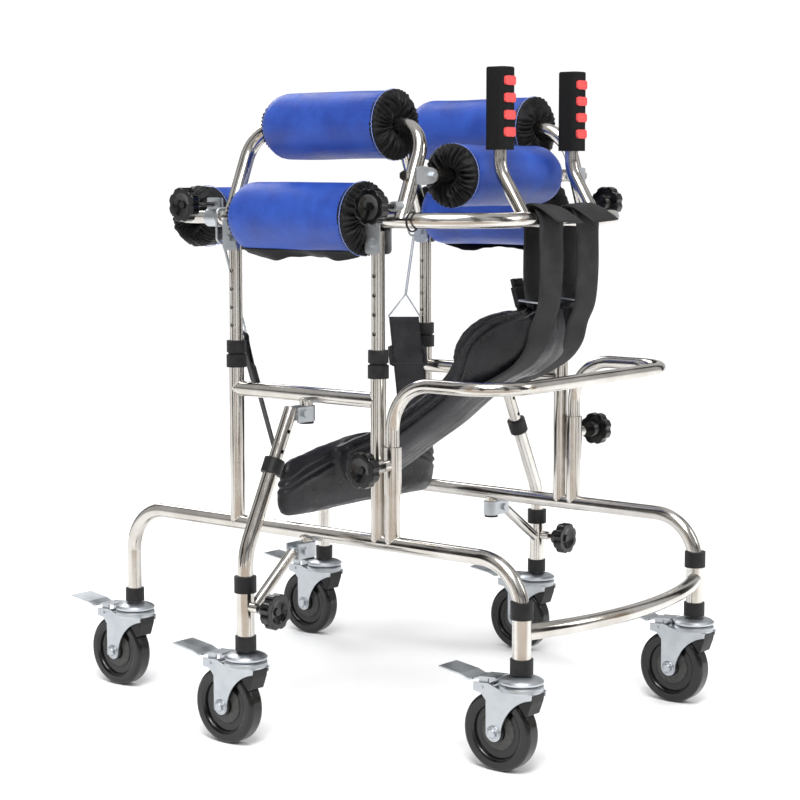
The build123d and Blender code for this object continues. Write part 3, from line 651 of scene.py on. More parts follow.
def gathered_end(name, centre, outward, outer, inner, bulge, swell, seed):
    """A black end: cloth drawn in by deep pleats from the seam to the steel tube."""
    outward = Vector(outward)
    side = outward.cross(Vector((0, 0, 1))).normalized()
    up = side.cross(outward)
    around, rows = 260, 20
    points = []
    for row in range(rows):
        t = row / (rows - 1)
        r = outer + (inner - outer) * t
        rise = bulge * math.sin(math.pi * min(1.0, 0.16 + t * 0.84)) ** 0.7 + swell * min(1.0, 2.5 * t)
        for column in range(around):
            a = 2 * math.pi * column / around
            drift = noise.noise(Vector((math.cos(a) * 1.6, math.sin(a) * 1.6, seed + t * 1.1)))
            small = noise.noise(Vector((math.cos(a) * 5, math.sin(a) * 5, seed * 2 + t * 2)))
            wave = 2 * abs(math.sin(PLEATS * a + 5.0 * drift + 1.6 * t)) - 1
            wave += 0.7 * abs(math.sin(1.7 * PLEATS * a + 9 * small)) - 0.35
            depth = (0.9 + 4.8 * math.sin(math.pi * min(1, t * 0.9 + 0.06))) * MM
            lift = rise + depth * (wave * 0.62 + small * 0.9)
            swirl = a + 0.10 * t + 0.05 * small * t
            reach = r + (0.6 * MM * wave if row == 0 else 0.0)
            spoke = side * math.cos(swirl) + up * math.sin(swirl)
            points.append(Vector(centre) + outward * lift + spoke * reach)
    back = []
    depth_in = 9 * MM
    for row in (rows - 1, 0):
        ring_r = outer - 2 * MM if row == 0 else inner
        for column in range(around):
            a = 2 * math.pi * column / around
            spoke = side * math.cos(a) + up * math.sin(a)
            back.append(Vector(centre) - outward * depth_in + spoke * ring_r)
    points += back
    faces = grid_faces(rows + 2, around, closed_rows=True)
    return make(name, points, faces, gather)


def seam_line(centre, outward, radius, inset):
    """A circle of points just proud of a roll's seam."""
    outward = Vector(outward)
    side = outward.cross(Vector((0, 0, 1))).normalized()
    up = side.cross(outward)
    steps = 90
    ring = []
    for step in range(steps):
        a = 2 * math.pi * step / steps
        spot = side * math.cos(a) + up * math.sin(a)
        zig = inset + (1.2 * MM if step % 2 else 0.0)
        ring.append(Vector(centre) - outward * zig + spot * radius)
    return ring


def padded_roll(name, node, body, start, end, radius, tube, rounds, caps, seed):
    """A whole roll: its cover, its two gathered ends and the stitches between them."""
    start, end = Vector(start), Vector(end)
    length, along, _, _ = roll_frame(start, end)
    cover = roll_cover(f"{name}_cover", start, end, radius, rounds[0], rounds[1], caps, seed)
    dress(cover, body, "cover_blue", *([node] if node else []))
    seams = []
    ends = []
    for which, (centre, outward) in enumerate(((start, -along), (end, along))):
        inset = caps[which]
        s = inset if which == 0 else length - inset
        r = shoulder(s, length, radius, rounds[0], rounds[1])
        at = centre - outward * inset
        bulge = inset + 3 * MM if inset > 2.5 * MM else 1.5 * MM
        swell = 5 * MM if inset > 2.5 * MM else 2.5 * MM
        ends.append(
            gathered_end(
                f"{name}_end_{which}", at, outward, r + 0.6 * MM, tube + 0.8 * MM, bulge, swell, seed + which
            )
        )
        seams.append((seam_line(at, outward, r + 0.9 * MM, 1.4 * MM), True))
    black = join(f"{name}_gathers", ends)
    black.parent = cover
    stitch = bead_row(f"{name}_stitches", seams, 3.6 * MM, 0.8 * MM, 2.2, thread_blue)
    stitch.parent = cover
    return cover


# %% [markdown]
# The four rolls along the walker are alike; the chest roll and the rear roll lie across it.

# %% Make the six rolls
ROLL_R = (high("arm_rolls").z - low("arm_rolls").z) / 2
arm_x = high("arm_rolls").x - ROLL_R
arm_z = middle("arm_rolls").z
for number, sign in enumerate((-1, 1)):
    side_name = "right" if sign < 0 else "left"
    y0, y1 = low("arm_rolls").y, high("arm_rolls").y
    padded_roll(
        f"{side_name}_arm_roll", "arm_rolls" if number == 0 else None, "upper_frame",
        (sign * arm_x, y0 + 3 * MM, arm_z), (sign * arm_x, y1 + 5 * MM, arm_z), ROLL_R + 1.5 * MM, TUBE_R,
        (6 * MM, 30 * MM), (3 * MM, 2 * MM), 1.3 + number,
    )
    y0, y1 = low("side_rolls").y, high("side_rolls").y
    padded_roll(
        f"{side_name}_side_roll", "side_rolls" if number == 0 else None, "upper_frame",
        (sign * rail_x, y0 + 3 * MM, ring_z + 2 * MM), (sign * rail_x, y1 + 6 * MM, ring_z + 2 * MM),
        ROLL_R + 4 * MM, TUBE_R,
        (6 * MM, 30 * MM), (3 * MM, 2 * MM), 4.7 + number,
    )

chest = middle("chest_roll")
chest_r = (high("chest_roll").z - low("chest_roll").z) / 2
padded_roll(
    "chest_roll", "chest_roll", "chest_bar",
    (low("chest_roll").x + 3 * MM, chest.y, chest.z), (high("chest_roll").x, chest.y, chest.z),
    chest_r, SLIM_R, (6 * MM, 30 * MM), (3 * MM, 2 * MM), 8.1,
)
rear = middle("rear_roll")
rear_r = (high("rear_roll").z - low("rear_roll").z) / 2
padded_roll(
    "rear_roll", "rear_roll", "rear_bar",
    (low("rear_roll").x, rear.y, rear.z), (high("rear_roll").x, rear.y, rear.z),
    rear_r, SLIM_R, (20 * MM, 20 * MM), (34 * MM, 34 * MM), 9.9,
)
print("rolls", round(ROLL_R * 2, 4), "m thick")

# %% [markdown]
# ## The saddle
# The saddle is a padded sling. A cup with high rounded walls takes the groin, a tongue runs down and
# back from it, and a wide band crosses behind. Its surface is laid out from a few stations: the
# lowest line in the middle, the rim line at the side, and how wide it is there.

# %% Saddle stations and sections
SADDLE = [
    # bottom y, bottom z, rim y, rim z, half width; y from the middle of the wheelbase, in mm
    (-309, 716, -290, 712, 70),
    (-311, 680, -262, 703, 82),
    (-305, 645, -221, 690, 88),
    (-286, 615, -185, 667, 89),
    (-246, 588, -160, 640, 86),
    (-200, 567, -146, 608, 82),
    (-150, 540, -120, 575, 79),
    (-88, 490, -72, 539, 78),
    (-24, 446, 6, 490, 80),
    (36, 404, 58, 466, 84),
    (88, 372, 96, 450, 92),
]


def blend_rows(rows, t):
    """A smooth value between the rows of a table; t counts rows."""
    i = min(int(t), len(rows) - 2)
    f = t - i
    a, b, c, d = (rows[min(max(k, 0), len(rows) - 1)] for k in (i - 1, i, i + 1, i + 2))
    mixed = []
    for p, q, r, s in zip(a, b, c, d):
        square, cube = 2 * p - 5 * q + 4 * r - s, 3 * q - p - 3 * r + s
        mixed.append(0.5 * (2 * q + (r - p) * f + square * f**2 + cube * f**3))
    return mixed


def steepness(t):
    """How suddenly the saddle's walls rise: boxy at the cup, rounder towards the band."""
    return 4.6 - 0.17 * t


def saddle_point(t, v):
    """A point of the saddle's outer skin: t runs from cup to band, v from rim to rim."""
    bottom_y, bottom_z, rim_y, rim_z, half = blend_rows(SADDLE, t)
    rise = abs(v) ** steepness(t)
    x = half * math.sin(v * math.pi / 2)
    y = bottom_y + (rim_y - bottom_y) * rise
    z = bottom_z + (rim_z - bottom_z) * rise
    return Vector((x * MM, y * MM + wheelbase_mid_y, z * MM))


def saddle_normal(t, v):
    """Outward direction of the skin at that point."""
    last = len(SADDLE) - 1
    along = saddle_point(min(t + 0.05, last), v) - saddle_point(max(t - 0.05, 0), v)
    over = saddle_point(t, min(v + 0.02, 1)) - saddle_point(t, max(v - 0.02, -1))
    return over.cross(along).normalized() * -1


def saddle_core(paint):
    """The cup and tongue as one closed pad, thicker in a band along the rim."""
    rows, across = 46, 27
    rings = []
    for row in range(rows):
        t = (len(SADDLE) - 1) * row / (rows - 1)
        outer, inner = [], []
        for column in range(across):
            v = -1 + 2 * column / (across - 1)
            skin = saddle_point(t, v) + saddle_normal(t, v) * (-3 * MM)
            thick = (12 + 8 * math.exp(-(((1 - abs(v)) / 0.16) ** 2))) * MM
            outer.append(skin)
            inner.append(skin - saddle_normal(t, v) * thick)
        rings += outer + inner[::-1]
    faces = grid_faces(rows, 2 * across)
    faces.append(tuple(range(2 * across)))
    faces.append(tuple(range((rows - 1) * 2 * across, rows * 2 * across)))
    return make("saddle_core", rings, faces, paint)


BAND = [
    # x, bottom z, top z, thickness
    (-212, 352, 412, 14),
    (-202, 336, 430, 22),
    (-172, 331, 441, 28),
    (-110, 329, 452, 31),
    (-50, 329, 460, 33),
    (0, 329, 463, 34),
    (50, 329, 460, 33),
    (110, 329, 452, 31),
    (172, 331, 441, 28),
    (202, 336, 430, 22),
    (212, 352, 412, 14),
]
band_y = high("saddle_seat").y - 20 * MM


def saddle_band(paint):
    """The wide band behind: a flat pad with rounded edges and wing tips."""
    rows, around = 56, 40
    rings = []
    for row in range(rows):
        x, bottom, top, thick = blend_rows(BAND, (len(BAND) - 1) * row / (rows - 1))
        for column in range(around):
            a = 2 * math.pi * column / around
            c, s = math.cos(a), math.sin(a)
            y = thick / 2 * math.copysign(abs(c) ** 0.7, c)
            z = (top - bottom) / 2 * math.copysign(abs(s) ** 0.6, s)
            rings.append(Vector((x * MM, band_y + y * MM, ((top + bottom) / 2 + z) * MM)))
    faces = grid_faces(rows, around)
    faces.append(tuple(range(around)))
    faces.append(tuple(range((rows - 1) * around, rows * around)))
    return make("saddle_band", rings, faces, paint)


# %% [markdown]
# The two pads are joined and blown up a little as one cloth. Then the sewing goes in: two channels
# along each rim, two along the band's top, and long soft creases where the padding is bent.

# %% Inflate the saddle and sew its channels
RIM_CHANNELS = (13 * MM, 28 * MM)
BAND_CHANNELS = (17 * MM, 31 * MM)
BAND_REACH = BAND[-1][0]


def wall_height(t):
    """Slope length of the saddle's wall, from its lowest line to its rim."""
    bottom_y, bottom_z, rim_y, rim_z, _ = blend_rows(SADDLE, t)
    return math.hypot(rim_y - bottom_y, rim_z - bottom_z) * MM


def rim_gap(t, v):
    """Distance from the rim line down the saddle's wall."""
    return wall_height(t) * (1 - abs(v) ** steepness(t))


def rim_place(t, gap):
    """The other way round: v at a distance from the rim."""
    return max(0.1, 1 - gap / wall_height(t)) ** (1 / steepness(t))


seat = join("saddle", [saddle_core(saddle), saddle_band(saddle)])
puff(seat, 5 * MM, 4.0, 5 * MM)
soften(seat, 0.5, 3)
subdivide(seat)

# The skin's points are set close together near the rim, where the channels run.
V_PLACES = [k / 30 for k in range(22)] + [(0.24 + 0.76 * k / 56) ** 0.25 for k in range(57)]
samples = []
for row in range(160):
    t = (len(SADDLE) - 1) * row / 159
    for v in V_PLACES:
        samples.append((t, v, saddle_point(t, v)))
        samples.append((t, -v, saddle_point(t, -v)))
finder = KDTree(len(samples))
for index, (t, v, spot) in enumerate(samples):
    finder.insert(spot, index)
finder.balance()


def channel(distance, width):
    """Depth of a sewn channel at a distance from its line, from 0 to 1, with a raised lip beside it."""
    groove = math.exp(-((distance / width) ** 2))
    lip = math.exp(-(((abs(distance) - 2.6 * width) / (1.2 * width)) ** 2))
    return groove - 0.35 * lip


normals = [v.normal.copy() for v in seat.data.vertices]
for vertex, normal in zip(seat.data.vertices, normals):
    spot, index, away = finder.find(vertex.co)
    t, v, _ = samples[index]
    sunk = 0.0
    if away < 26 * MM and 0.4 < t < len(SADDLE) - 1.6:
        for line in RIM_CHANNELS:
            sunk += channel(rim_gap(t, v) - line, 3.2 * MM) * 4.6 * MM
        middle_v = abs(v) / 0.7
        if middle_v < 1:
            crease = noise.noise(Vector((v * 7, t * 0.55, 3.0)))
            sunk += crease * 3.0 * MM * (1 - middle_v)
    if vertex.co.y > band_y - 34 * MM and away > 4 * MM:
        station = (vertex.co.x / MM + BAND_REACH) / (2 * BAND_REACH) * (len(BAND) - 1)
        top = blend_rows(BAND, station)[2] * MM
        down = top - vertex.co.z
        for line in BAND_CHANNELS:
            sunk += channel(down - line, 2.6 * MM) * 2.6 * MM
        long_fold = noise.noise(Vector((vertex.co.x * 7, vertex.co.z * 46 + vertex.co.x * 9, 1.7)))
        sunk += long_fold * 3.2 * MM
    vertex.co = vertex.co - normal * sunk
dress(seat, "upper_frame", "saddle_black", "saddle_seat")


def on_seat(point, lift):
    """The nearest point of the saddle's surface, lifted off it."""
    _, spot, normal, _ = seat.closest_point_on_mesh(point)
    return spot + normal * lift


lines = []
for line in RIM_CHANNELS:
    for sign in (-1, 1):
        run = []
        for step in range(150):
            t = 0.8 + (len(SADDLE) - 3.4) * step / 149
            run.append(on_seat(saddle_point(t, sign * rim_place(t, line)), 0.2 * MM))
        lines.append((run, False))
sewing = Paint("saddle_thread", (0.05, 0.05, 0.055))
sewing.set("Roughness", spread(sewing.grain(200.0), 0.5, 0.7))
sewing.bump(sewing.grain(900.0), 0.0002, 0.4)
seat_stitches = bead_row("saddle_stitches", lines, 3.6 * MM, 0.5 * MM, 2.6, sewing)
seat_stitches.parent = seat
print("saddle", len(seat.data.vertices), "points")

# %% [markdown]
# ## Straps
# A strap is a flat ply carried along a path. It has real thickness and soft edges, and a map
# along its length for the webbing's ribs.

# %% Strap maker


def ply(name, path, across, width, thick, paint=webbing, flare=0.0, bow=0.0):
    """A ply of webbing along a path; across is the direction of its width, flare widens its end."""
    across = Vector(across).normalized()
    profile = []
    columns = 9
    for column in range(columns):
        c = -1 + 2 * column / (columns - 1)
        profile.append((c, 0.5 if abs(c) < 1 else 0.28))
    loop = profile + [(c, -h) for c, h in reversed(profile)]
    points = []
    for index, spot in enumerate(path):
        before, after = path[max(0, index - 1)], path[min(len(path) - 1, index + 1)]
        along = (after - before).normalized()
        face = across.cross(along).normalized()
        wide = width / 2 * (1 + flare * index / (len(path) - 1))
        for c, h in loop:
            points.append(spot + across * (c * wide) + face * (h * thick + bow * (1 - c * c)))
    faces = grid_faces(len(path), len(loop))
    faces.append(tuple(range(len(loop))))
    faces.append(tuple(range((len(path) - 1) * len(loop), len(path) * len(loop))))
    piece = make(name, points, faces, paint)
    reach = [0.0]
    for a, b in zip(path, path[1:]):
        reach.append(reach[-1] + (b - a).length)
    layer = piece.data.uv_layers.new(name="weave")
    for polygon in piece.data.polygons:
        for corner in polygon.loop_indices:
            vertex = piece.data.loops[corner].vertex_index
            row, column = divmod(vertex, len(loop))
            layer.data[corner].uv = (reach[min(row, len(path) - 1)], loop[column][0] * width / 2)
    return piece, reach[-1]


def run_of(points, x, count):
    """A smooth path in a plane of constant x, from points in mm measured from the wheelbase's middle."""
    return smooth_path([(x, y * MM + wheelbase_mid_y, z * MM) for y, z in points], count)


# %% [markdown]
# The front straps: an outer ply hangs in front of the ring, turns back under the cup and follows the
# saddle's underside into its padding. A stiff flared flap lies over the ring, and an inner ply comes
# down behind it to a buckle.

# %% Front straps
FRONT_X = 52.5 * MM
FRONT_W = 65 * MM
ring_rel = (ring_front_y - wheelbase_mid_y) / MM


def under_cup(t, lift):
    """Height and depth of the saddle's underside at the straps' place, as run_of takes them."""
    v = math.asin(FRONT_X / MM / blend_rows(SADDLE, t)[4]) * 2 / math.pi
    spot = saddle_point(t, v) + saddle_normal(t, v) * lift
    return (spot.y - wheelbase_mid_y) / MM, spot.z / MM


for side_name, sign in (("right", -1), ("left", 1)):
    x = sign * FRONT_X
    outer_run = run_of(
        [
            (ring_rel - 6, 861), (ring_rel - 15.5, 846), (ring_rel - 16, 820), (ring_rel - 17, 760),
            (ring_rel - 12, 706), under_cup(1.2, 3 * MM), under_cup(2.2, 2 * MM), under_cup(3.2, 2 * MM),
            under_cup(4.2, 2 * MM), under_cup(5.0, 1 * MM), under_cup(5.6, -7 * MM),
        ],
        x, 70,
    )
    outer, outer_length = ply(
        f"{side_name}_front_strap", outer_run, (1, 0, 0), FRONT_W, 5 * MM, webbing, -0.12
    )
    dress(outer, "upper_frame", "strap_black", *(["saddle_straps"] if sign < 0 else []))
    flap_run = run_of(
        [
            (ring_rel + 26, 857), (ring_rel + 14, 866), (ring_rel, 868), (ring_rel - 22, 860),
            (ring_rel - 52, 842),
        ],
        x, 24,
    )
    flap, flap_length = ply(
        f"{side_name}_strap_flap", flap_run, (1, 0, sign * 0.05), FRONT_W, 4 * MM, webbing, 0.16
    )
    dress(flap, "upper_frame", "strap_black")
    inner_run = run_of(
        [
            (ring_rel + 20, 858), (ring_rel + 19, 830), (ring_rel + 20, 780), (ring_rel + 19, 735),
            (ring_rel + 12, 706),
        ],
        x, 30,
    )
    inner, inner_length = ply(f"{side_name}_inner_strap", inner_run, (1, 0, 0), 50 * MM, 4 * MM)
    dress(inner, "upper_frame", "strap_black")

# %% [markdown]
# The rear straps hang the band from the wire triangles. Each is folded over the wire, runs through a
# slider and ends on the back of the band.

# %% Rear straps


def slider(name, centre, along, across, width):
    """A moulded ladder slider: a frame with two windows, wrapped by the strap."""
    across = across.normalized()
    along = along.normalized()
    face = across.cross(along).normalized()
    parts = []
    half_w, half_h = width / 2 + 4 * MM, 17 * MM
    heart = centre + face * 3 * MM
    for height in (-half_h, 0.0, half_h):
        a = heart + along * height - across * half_w
        b = heart + along * height + across * half_w
        parts.append(tube_between(f"{name}_bar", a, b, 3 * MM, collar))
    for side in (-half_w, half_w):
        a = heart - along * (half_h + 1 * MM) + across * side
        b = heart + along * (half_h + 1 * MM) + across * side
        parts.append(tube_between(f"{name}_side", a, b, 4 * MM, collar))
    return join(name, parts)


def tube_between(name, start, end, radius, paint, sides=12):
    """A straight bar with rounded ends."""
    start, end = Vector(start), Vector(end)
    length, along, side, up = roll_frame(start, end)
    if abs(along.z) >= 0.95:  # an almost upright bar
        side, up = Vector((1, 0, 0)), Vector((0, 1, 0))
    stations = [(0.0, 0.55), (0.25 * radius, 0.85), (0.8 * radius, 1.0)]
    rows = stations + [(length - s, k) for s, k in reversed(stations)]
    points = []
    for s, k in rows:
        for column in range(sides):
            a = 2 * math.pi * column / sides
            spoke = side * math.cos(a) + up * math.sin(a)
            points.append(start + along * s + spoke * (radius * k))
    faces = grid_faces(len(rows), sides)
    faces.append(tuple(range(sides)))
    faces.append(tuple(range((len(rows) - 1) * sides, len(rows) * sides)))
    return make(name, points, faces, paint)


for side_name, sign in (("right", -1), ("left", 1)):
    top = Vector((sign * 221 * MM, 150 * MM, 643 * MM))  # the wire triangle's lower bar
    foot = Vector((sign * 190 * MM, 95 * MM, 412 * MM))  # sewn to the band's back
    across = Vector((0.623, sign * -0.782, 0))  # along that bar
    hang = (foot - top).normalized()
    face = across.cross(hang).normalized()
    loop = [
        top + hang * 96 * MM + face * 4 * MM,
        top + hang * 60 * MM + face * 4 * MM,
        top + hang * 12 * MM + face * 4.5 * MM,
        top - hang * 2 * MM + face * 5 * MM,
        top - hang * 8 * MM,
        top - hang * 2 * MM - face * 5 * MM,
        top + hang * 12 * MM - face * 3 * MM,
        top + hang * 60 * MM - face * 1 * MM,
        top + hang * 140 * MM,
        foot,
    ]
    hanging, hanging_length = ply(f"{side_name}_rear_strap", smooth_path(loop, 90), across, 56 * MM, 2.4 * MM)
    dress(hanging, "upper_frame", "strap_black", *(["rear_straps"] if sign < 0 else []))
    lock = slider(f"{side_name}_slider", top + hang * 66 * MM - face * 2 * MM, hang, across, 56 * MM)
    dress(lock, "upper_frame", "black_plastic")
print("straps done")

# %% [markdown]
# ## Small things
# Black flaps close the side rolls underneath. The chest bar and the casters get their plates, nuts,
# covers and guards. The front straps get a buckle and a wire loop, and the tubes' joints get their
# weld beads.

# %% Closing flaps under the side rolls
flap_y0, flap_y1 = low("side_rolls").y + 8 * MM, high("side_rolls").y - 10 * MM
for side_name, sign in (("right", -1), ("left", 1)):
    rings = []
    rows, down = 70, 7
    for row in range(rows):
        t = row / (rows - 1)
        y = flap_y0 + (flap_y1 - flap_y0) * t
        wave = 5 * math.sin(9.5 * t + 0.6) * (0.4 + 0.6 * t)
        drop = (6 + wave + 3 * noise.noise(Vector((t * 9, 2, sign)))) * MM
        drop *= min(1.0, 6 * t, 6 * (1 - t)) ** 0.5 + 0.05
        front, back = [], []
        for step in range(down):
            d = step / (down - 1)
            sway = 3 * MM * math.sin(13 * t + 2.5 * d) * d
            x = sign * (rail_x + 26 * MM - 16 * MM * d) + sway
            z = ring_z - ROLL_R + 6 * MM - (drop + 8 * MM) * d
            front.append(Vector((x + 0.8 * MM, y, z)))
            back.append(Vector((x - 0.8 * MM, y, z)))
        rings += front + back[::-1]
    faces = grid_faces(rows, 2 * down)
    faces.append(tuple(range(2 * down)))
    faces.append(tuple(range((rows - 1) * 2 * down, rows * 2 * down)))
    hem = make(f"{side_name}_roll_flap", rings, faces, gather)
    dress(hem, "upper_frame", "strap_black")

# %% Turned shapes


def lathe(name, centre, axis, profile, paint, around=40):
    """A turned shape; profile holds (distance along the axis, radius) in mm and closes on itself."""
    axis = Vector(axis)
    side = axis.cross(Vector((0, 0, 1)) if abs(axis.z) < 0.9 else Vector((1, 0, 0))).normalized()
    up = side.cross(axis)
    points = []
    for step in range(around):
        a = 2 * math.pi * step / around
        spoke = side * math.cos(a) + up * math.sin(a)
        for s, r in profile:
            points.append(Vector(centre) + axis * (s * MM) + spoke * (r * MM))
    return make(name, points, grid_faces(around, len(profile), closed_rows=True), paint)


# %% [markdown]
# The chest bar is held between two zinc plates that stand off the armrests' front legs. Each has a
# hexagon bolt with a flange.

# %% Bearing plates of the chest bar
PLATE_EDGE = [
    # distance out from the middle, height over the bar, in mm
    (240, 13), (222, 15), (197, 12), (188, 8), (184, 0), (188, -8), (197, -12), (222, -15), (240, -13),
]
PLATE_BACK, PLATE_FRONT = 11.4 * MM, 14.2 * MM
BOLT_OUT = 197 * MM
BOLT_HEAD = [(0.0, 0.4), (0.0, 8), (0.8, 8), (0.8, 6.5), (4.6, 6.5), (5.2, 5.6), (5.2, 0.4)]
chest_plates = []
for sign in (-1, 1):
    corners = []
    for depth in (PLATE_BACK, PLATE_FRONT):
        for across, up in PLATE_EDGE:
            corners.append(Vector((sign * across * MM, chest.y - depth, chest.z + up * MM)))
    count = len(PLATE_EDGE)
    faces = grid_faces(2, count) + [tuple(range(count)), tuple(range(count, 2 * count))]
    chest_plates.append(make("chest_plate", corners, faces, zinc, smooth=False))
    bolt_place = (sign * BOLT_OUT, chest.y - PLATE_FRONT, chest.z)
    bolt = lathe("chest_bolt", bolt_place, (0, -1, 0), BOLT_HEAD, zinc, around=6)
    for face in bolt.data.polygons:
        face.use_smooth = False
    chest_plates.append(bolt)
plates = join("chest_plates", chest_plates)
dress(plates, "upper_frame", "zinc")
print("chest plates", len(plates.data.polygons), "faces")

# %% [markdown]
# A caster gets three things: a turned dust cover on each side of its hub, a washer and a crowned nut
# on each end of its axle, and a moulded guard between the fork's cheeks, cut away round the wheel.

# %% Casters
COVER = [
    (7.5, 12.5), (12, 12.5), (12.6, 14), (11.2, 16), (11.6, 22), (10.6, 28), (9.2, 31), (7.5, 31.5),
]
WASHER = [(21.1, 6.2), (21.1, 11.5), (22.4, 11.5), (22.4, 6.2)]
CROWN = [(25.8, 6.1), (25.8, 8.0), (27.6, 7.6), (28.8, 6.6), (28.8, 6.1)]
CASTER_TRAIL = 38 * MM
GUARD_ARC_R = 66.5


def guard_outline():
    """The guard's side view, in mm from the swivel's axis and the floor."""
    outline = [(-32.0, 130.4), (-30.0, 118.0), (-22.5, 97.0)]
    for step in range(9):
        a = math.radians(150 - 46 * step / 8)
        outline.append((38 + GUARD_ARC_R * math.cos(a), 62.5 + GUARD_ARC_R * math.sin(a)))
    outline.append((20.0, 130.4))
    return outline


def caster_guard(place, hub):
    """The guard, a little smaller at its two faces so that its edges are soft."""
    swivel_y = hub.y - CASTER_TRAIL
    outline = guard_outline()
    loops = []
    for x, squeeze in ((-17.4, 0.96), (-16.0, 1.0), (16.0, 1.0), (17.4, 0.96)):
        for y, z in outline:
            y, z = -5 + (y + 5) * squeeze, 118 + (z - 118) * squeeze
            loops.append(Vector((hub.x + x * MM, swivel_y + y * MM, z * MM)))
    count = len(outline)
    faces = grid_faces(4, count)
    faces.append(tuple(range(count)))
    faces.append(tuple(range(3 * count, 4 * count)))
    return make(f"{place}_guard", loops, faces, collar, smooth=False)


for place in CASTERS:
    hub = middle(f"{place}_wheel")
    covers = [lathe(f"{place}_cover", hub, (way, 0, 0), COVER, hub_grey) for way in (-1, 1)]
    dress(join(f"{place}_hub_covers", covers), f"{place}_wheel", "wheel_black")
    nuts = []
    for way in (-1, 1):
        nuts.append(lathe("washer", hub, (way, 0, 0), WASHER, zinc))
        nuts.append(lathe("nut_crown", hub, (way, 0, 0), CROWN, zinc))
    dress(join(f"{place}_axle_nuts", nuts), f"{place}_fork", "zinc")
    dress(caster_guard(place, hub), f"{place}_fork", "black_plastic")
print("casters done")

# %% Buckles and wire loops on the front straps
for number, (side_name, sign) in enumerate((("right", -1), ("left", 1))):
    x = sign * FRONT_X
    top = Vector((x, ring_front_y + 52 * MM, 748 * MM))
    foot = Vector((x, ring_front_y + 27 * MM, 668 * MM))
    way = (foot - top).normalized()
    parts = []
    for part, stations, width, thick in (
        ("body", (14, 16, 24, 34, 44, 46), 36, 10),
        ("tongue", (44, 46, 58, 68, 70), 27, 6),
        ("heel", (0, 2, 8, 14), 30, 7),
    ):
        path = [top + way * d * MM for d in stations]
        parts.append(ply(f"buckle_{part}", path, (1, 0, 0), width * MM, thick * MM, collar)[0])
    for k in (-1, 1):
        root = top + way * 40 * MM + Vector((k * 15.5 * MM, 0, 0))
        tip = top + way * 66 * MM + Vector((k * 13 * MM, 0, 0))
        parts.append(tube_between("prong", root, tip, 3 * MM, collar))
    buckle = join(f"{side_name}_buckle", parts)
    dress(buckle, "upper_frame", "black_plastic", *(["strap_buckles"] if number == 0 else []))
    loop_z, near, far = 712 * MM, ring_front_y - 12 * MM, ring_front_y + 27 * MM
    corners = [
        Vector((x + k * 29 * MM, y, z))
        for k, y, z in (
            (-1, near, loop_z), (1, near, loop_z), (1, far, loop_z + 3 * MM), (-1, far, loop_z + 3 * MM),
        )
    ]
    wires = [tube_between("wire", a, b, 1.6 * MM, zinc) for a, b in zip(corners, corners[1:] + corners[:1])]
    dress(join(f"{side_name}_strap_loop", wires), "upper_frame", "zinc")

# %% Weld beads


def joint_line(centre, post, rail, radius, rail_radius, steps=64):
    """The curve where a post's wall meets a rail that runs across it."""
    post, rail = Vector(post), Vector(rail)
    third = post.cross(rail)
    points = []
    for k in range(steps):
        a = 2 * math.pi * k / steps
        across = radius * math.sin(a)
        lift = math.sqrt(max(0.0, rail_radius**2 - across**2))
        points.append(Vector(centre) + rail * (radius * math.cos(a)) + third * across + post * lift)
    return points


rail_z = high("side_rails").z - TUBE_R
mid_rail_z = middle("mid_rails").z
stub_y = middle("right_outrigger_leg").y
leg_y = high("handrail_clamps").y - 14.5 * MM
base_welds, top_welds = [], []
for sign in (-1, 1):
    x = sign * rail_x
    for y in (post_ys[0], post_ys[1], leg_y):
        base_welds.append((joint_line((x, y, rail_z), (0, 0, 1), (0, 1, 0), TUBE_R, TUBE_R), True))
    base_welds.append((joint_line((x, stub_y, rail_z), (0, 0, -1), (0, 1, 0), SLIM_R, TUBE_R), True))
    base_welds.append((joint_line((x, stub_y, mid_rail_z), (0, 0, -1), (0, 1, 0), SLIM_R, TUBE_R), True))
    for y, way in ((post_ys[0], 1), (post_ys[1], -1)):
        base_welds.append((joint_line((x, y, mid_rail_z), (0, way, 0), (0, 0, 1), TUBE_R, TUBE_R), True))
    handle_x = sign * (high("handle_tubes").x - SLIM_R)
    handle_foot = (handle_x - sign * 2 * MM, ring_front_y, ring_z)
    top_welds.append((joint_line(handle_foot, (0, 0.53, 0.85), (1, 0, 0), SLIM_R, TUBE_R), True))
for name, body, welds in (("frame_welds", "base", base_welds), ("handle_welds", "upper_frame", top_welds)):
    piece = bead_row(name, welds, 1.5 * MM, 1.15 * MM, 0.9, steel)
    dress(piece, body, "stainless")

TIE_SECTION = [(-1.5, 14.2), (1.5, 14.2), (2, 15.5), (0, 16.6), (-2, 15.5)]
tie_place = (-rail_x, wheelbase_mid_y - 210 * MM, ring_z - 1.5 * MM)
tie = lathe("ring_tie", tie_place, (0, 1, 0), TIE_SECTION, collar)
dress(tie, "upper_frame", "black_plastic")
print("small things done")

# %% [markdown]
# ## The stage
# A pale floor, a bright even sky, a soft sun and three lamps. Cards that only reflections can see
# stand and lie round the walker. They draw the dark streaks down the polished tubes and keep the low
# legs from reflecting nothing but white floor.

# %% Floor, flags, lamps and sky
floor_paint = Paint("pale_floor", (0.97, 0.97, 0.97), roughness=0.9, specular_ior_level=0.0)
floor = make("floor", [(-30, -30, 0), (30, -30, 0), (30, 30, 0), (-30, 30, 0)], [(0, 1, 2, 3)], floor_paint)


def card(name, corners, color):
    """A plain card that only reflections see."""
    paint = Paint(name, color, roughness=1.0, specular_ior_level=0.0)
    sheet = make(name, corners, [(0, 1, 2, 3)], paint)
    sheet.visible_camera = False
    sheet.visible_shadow = False
    sheet.visible_diffuse = False


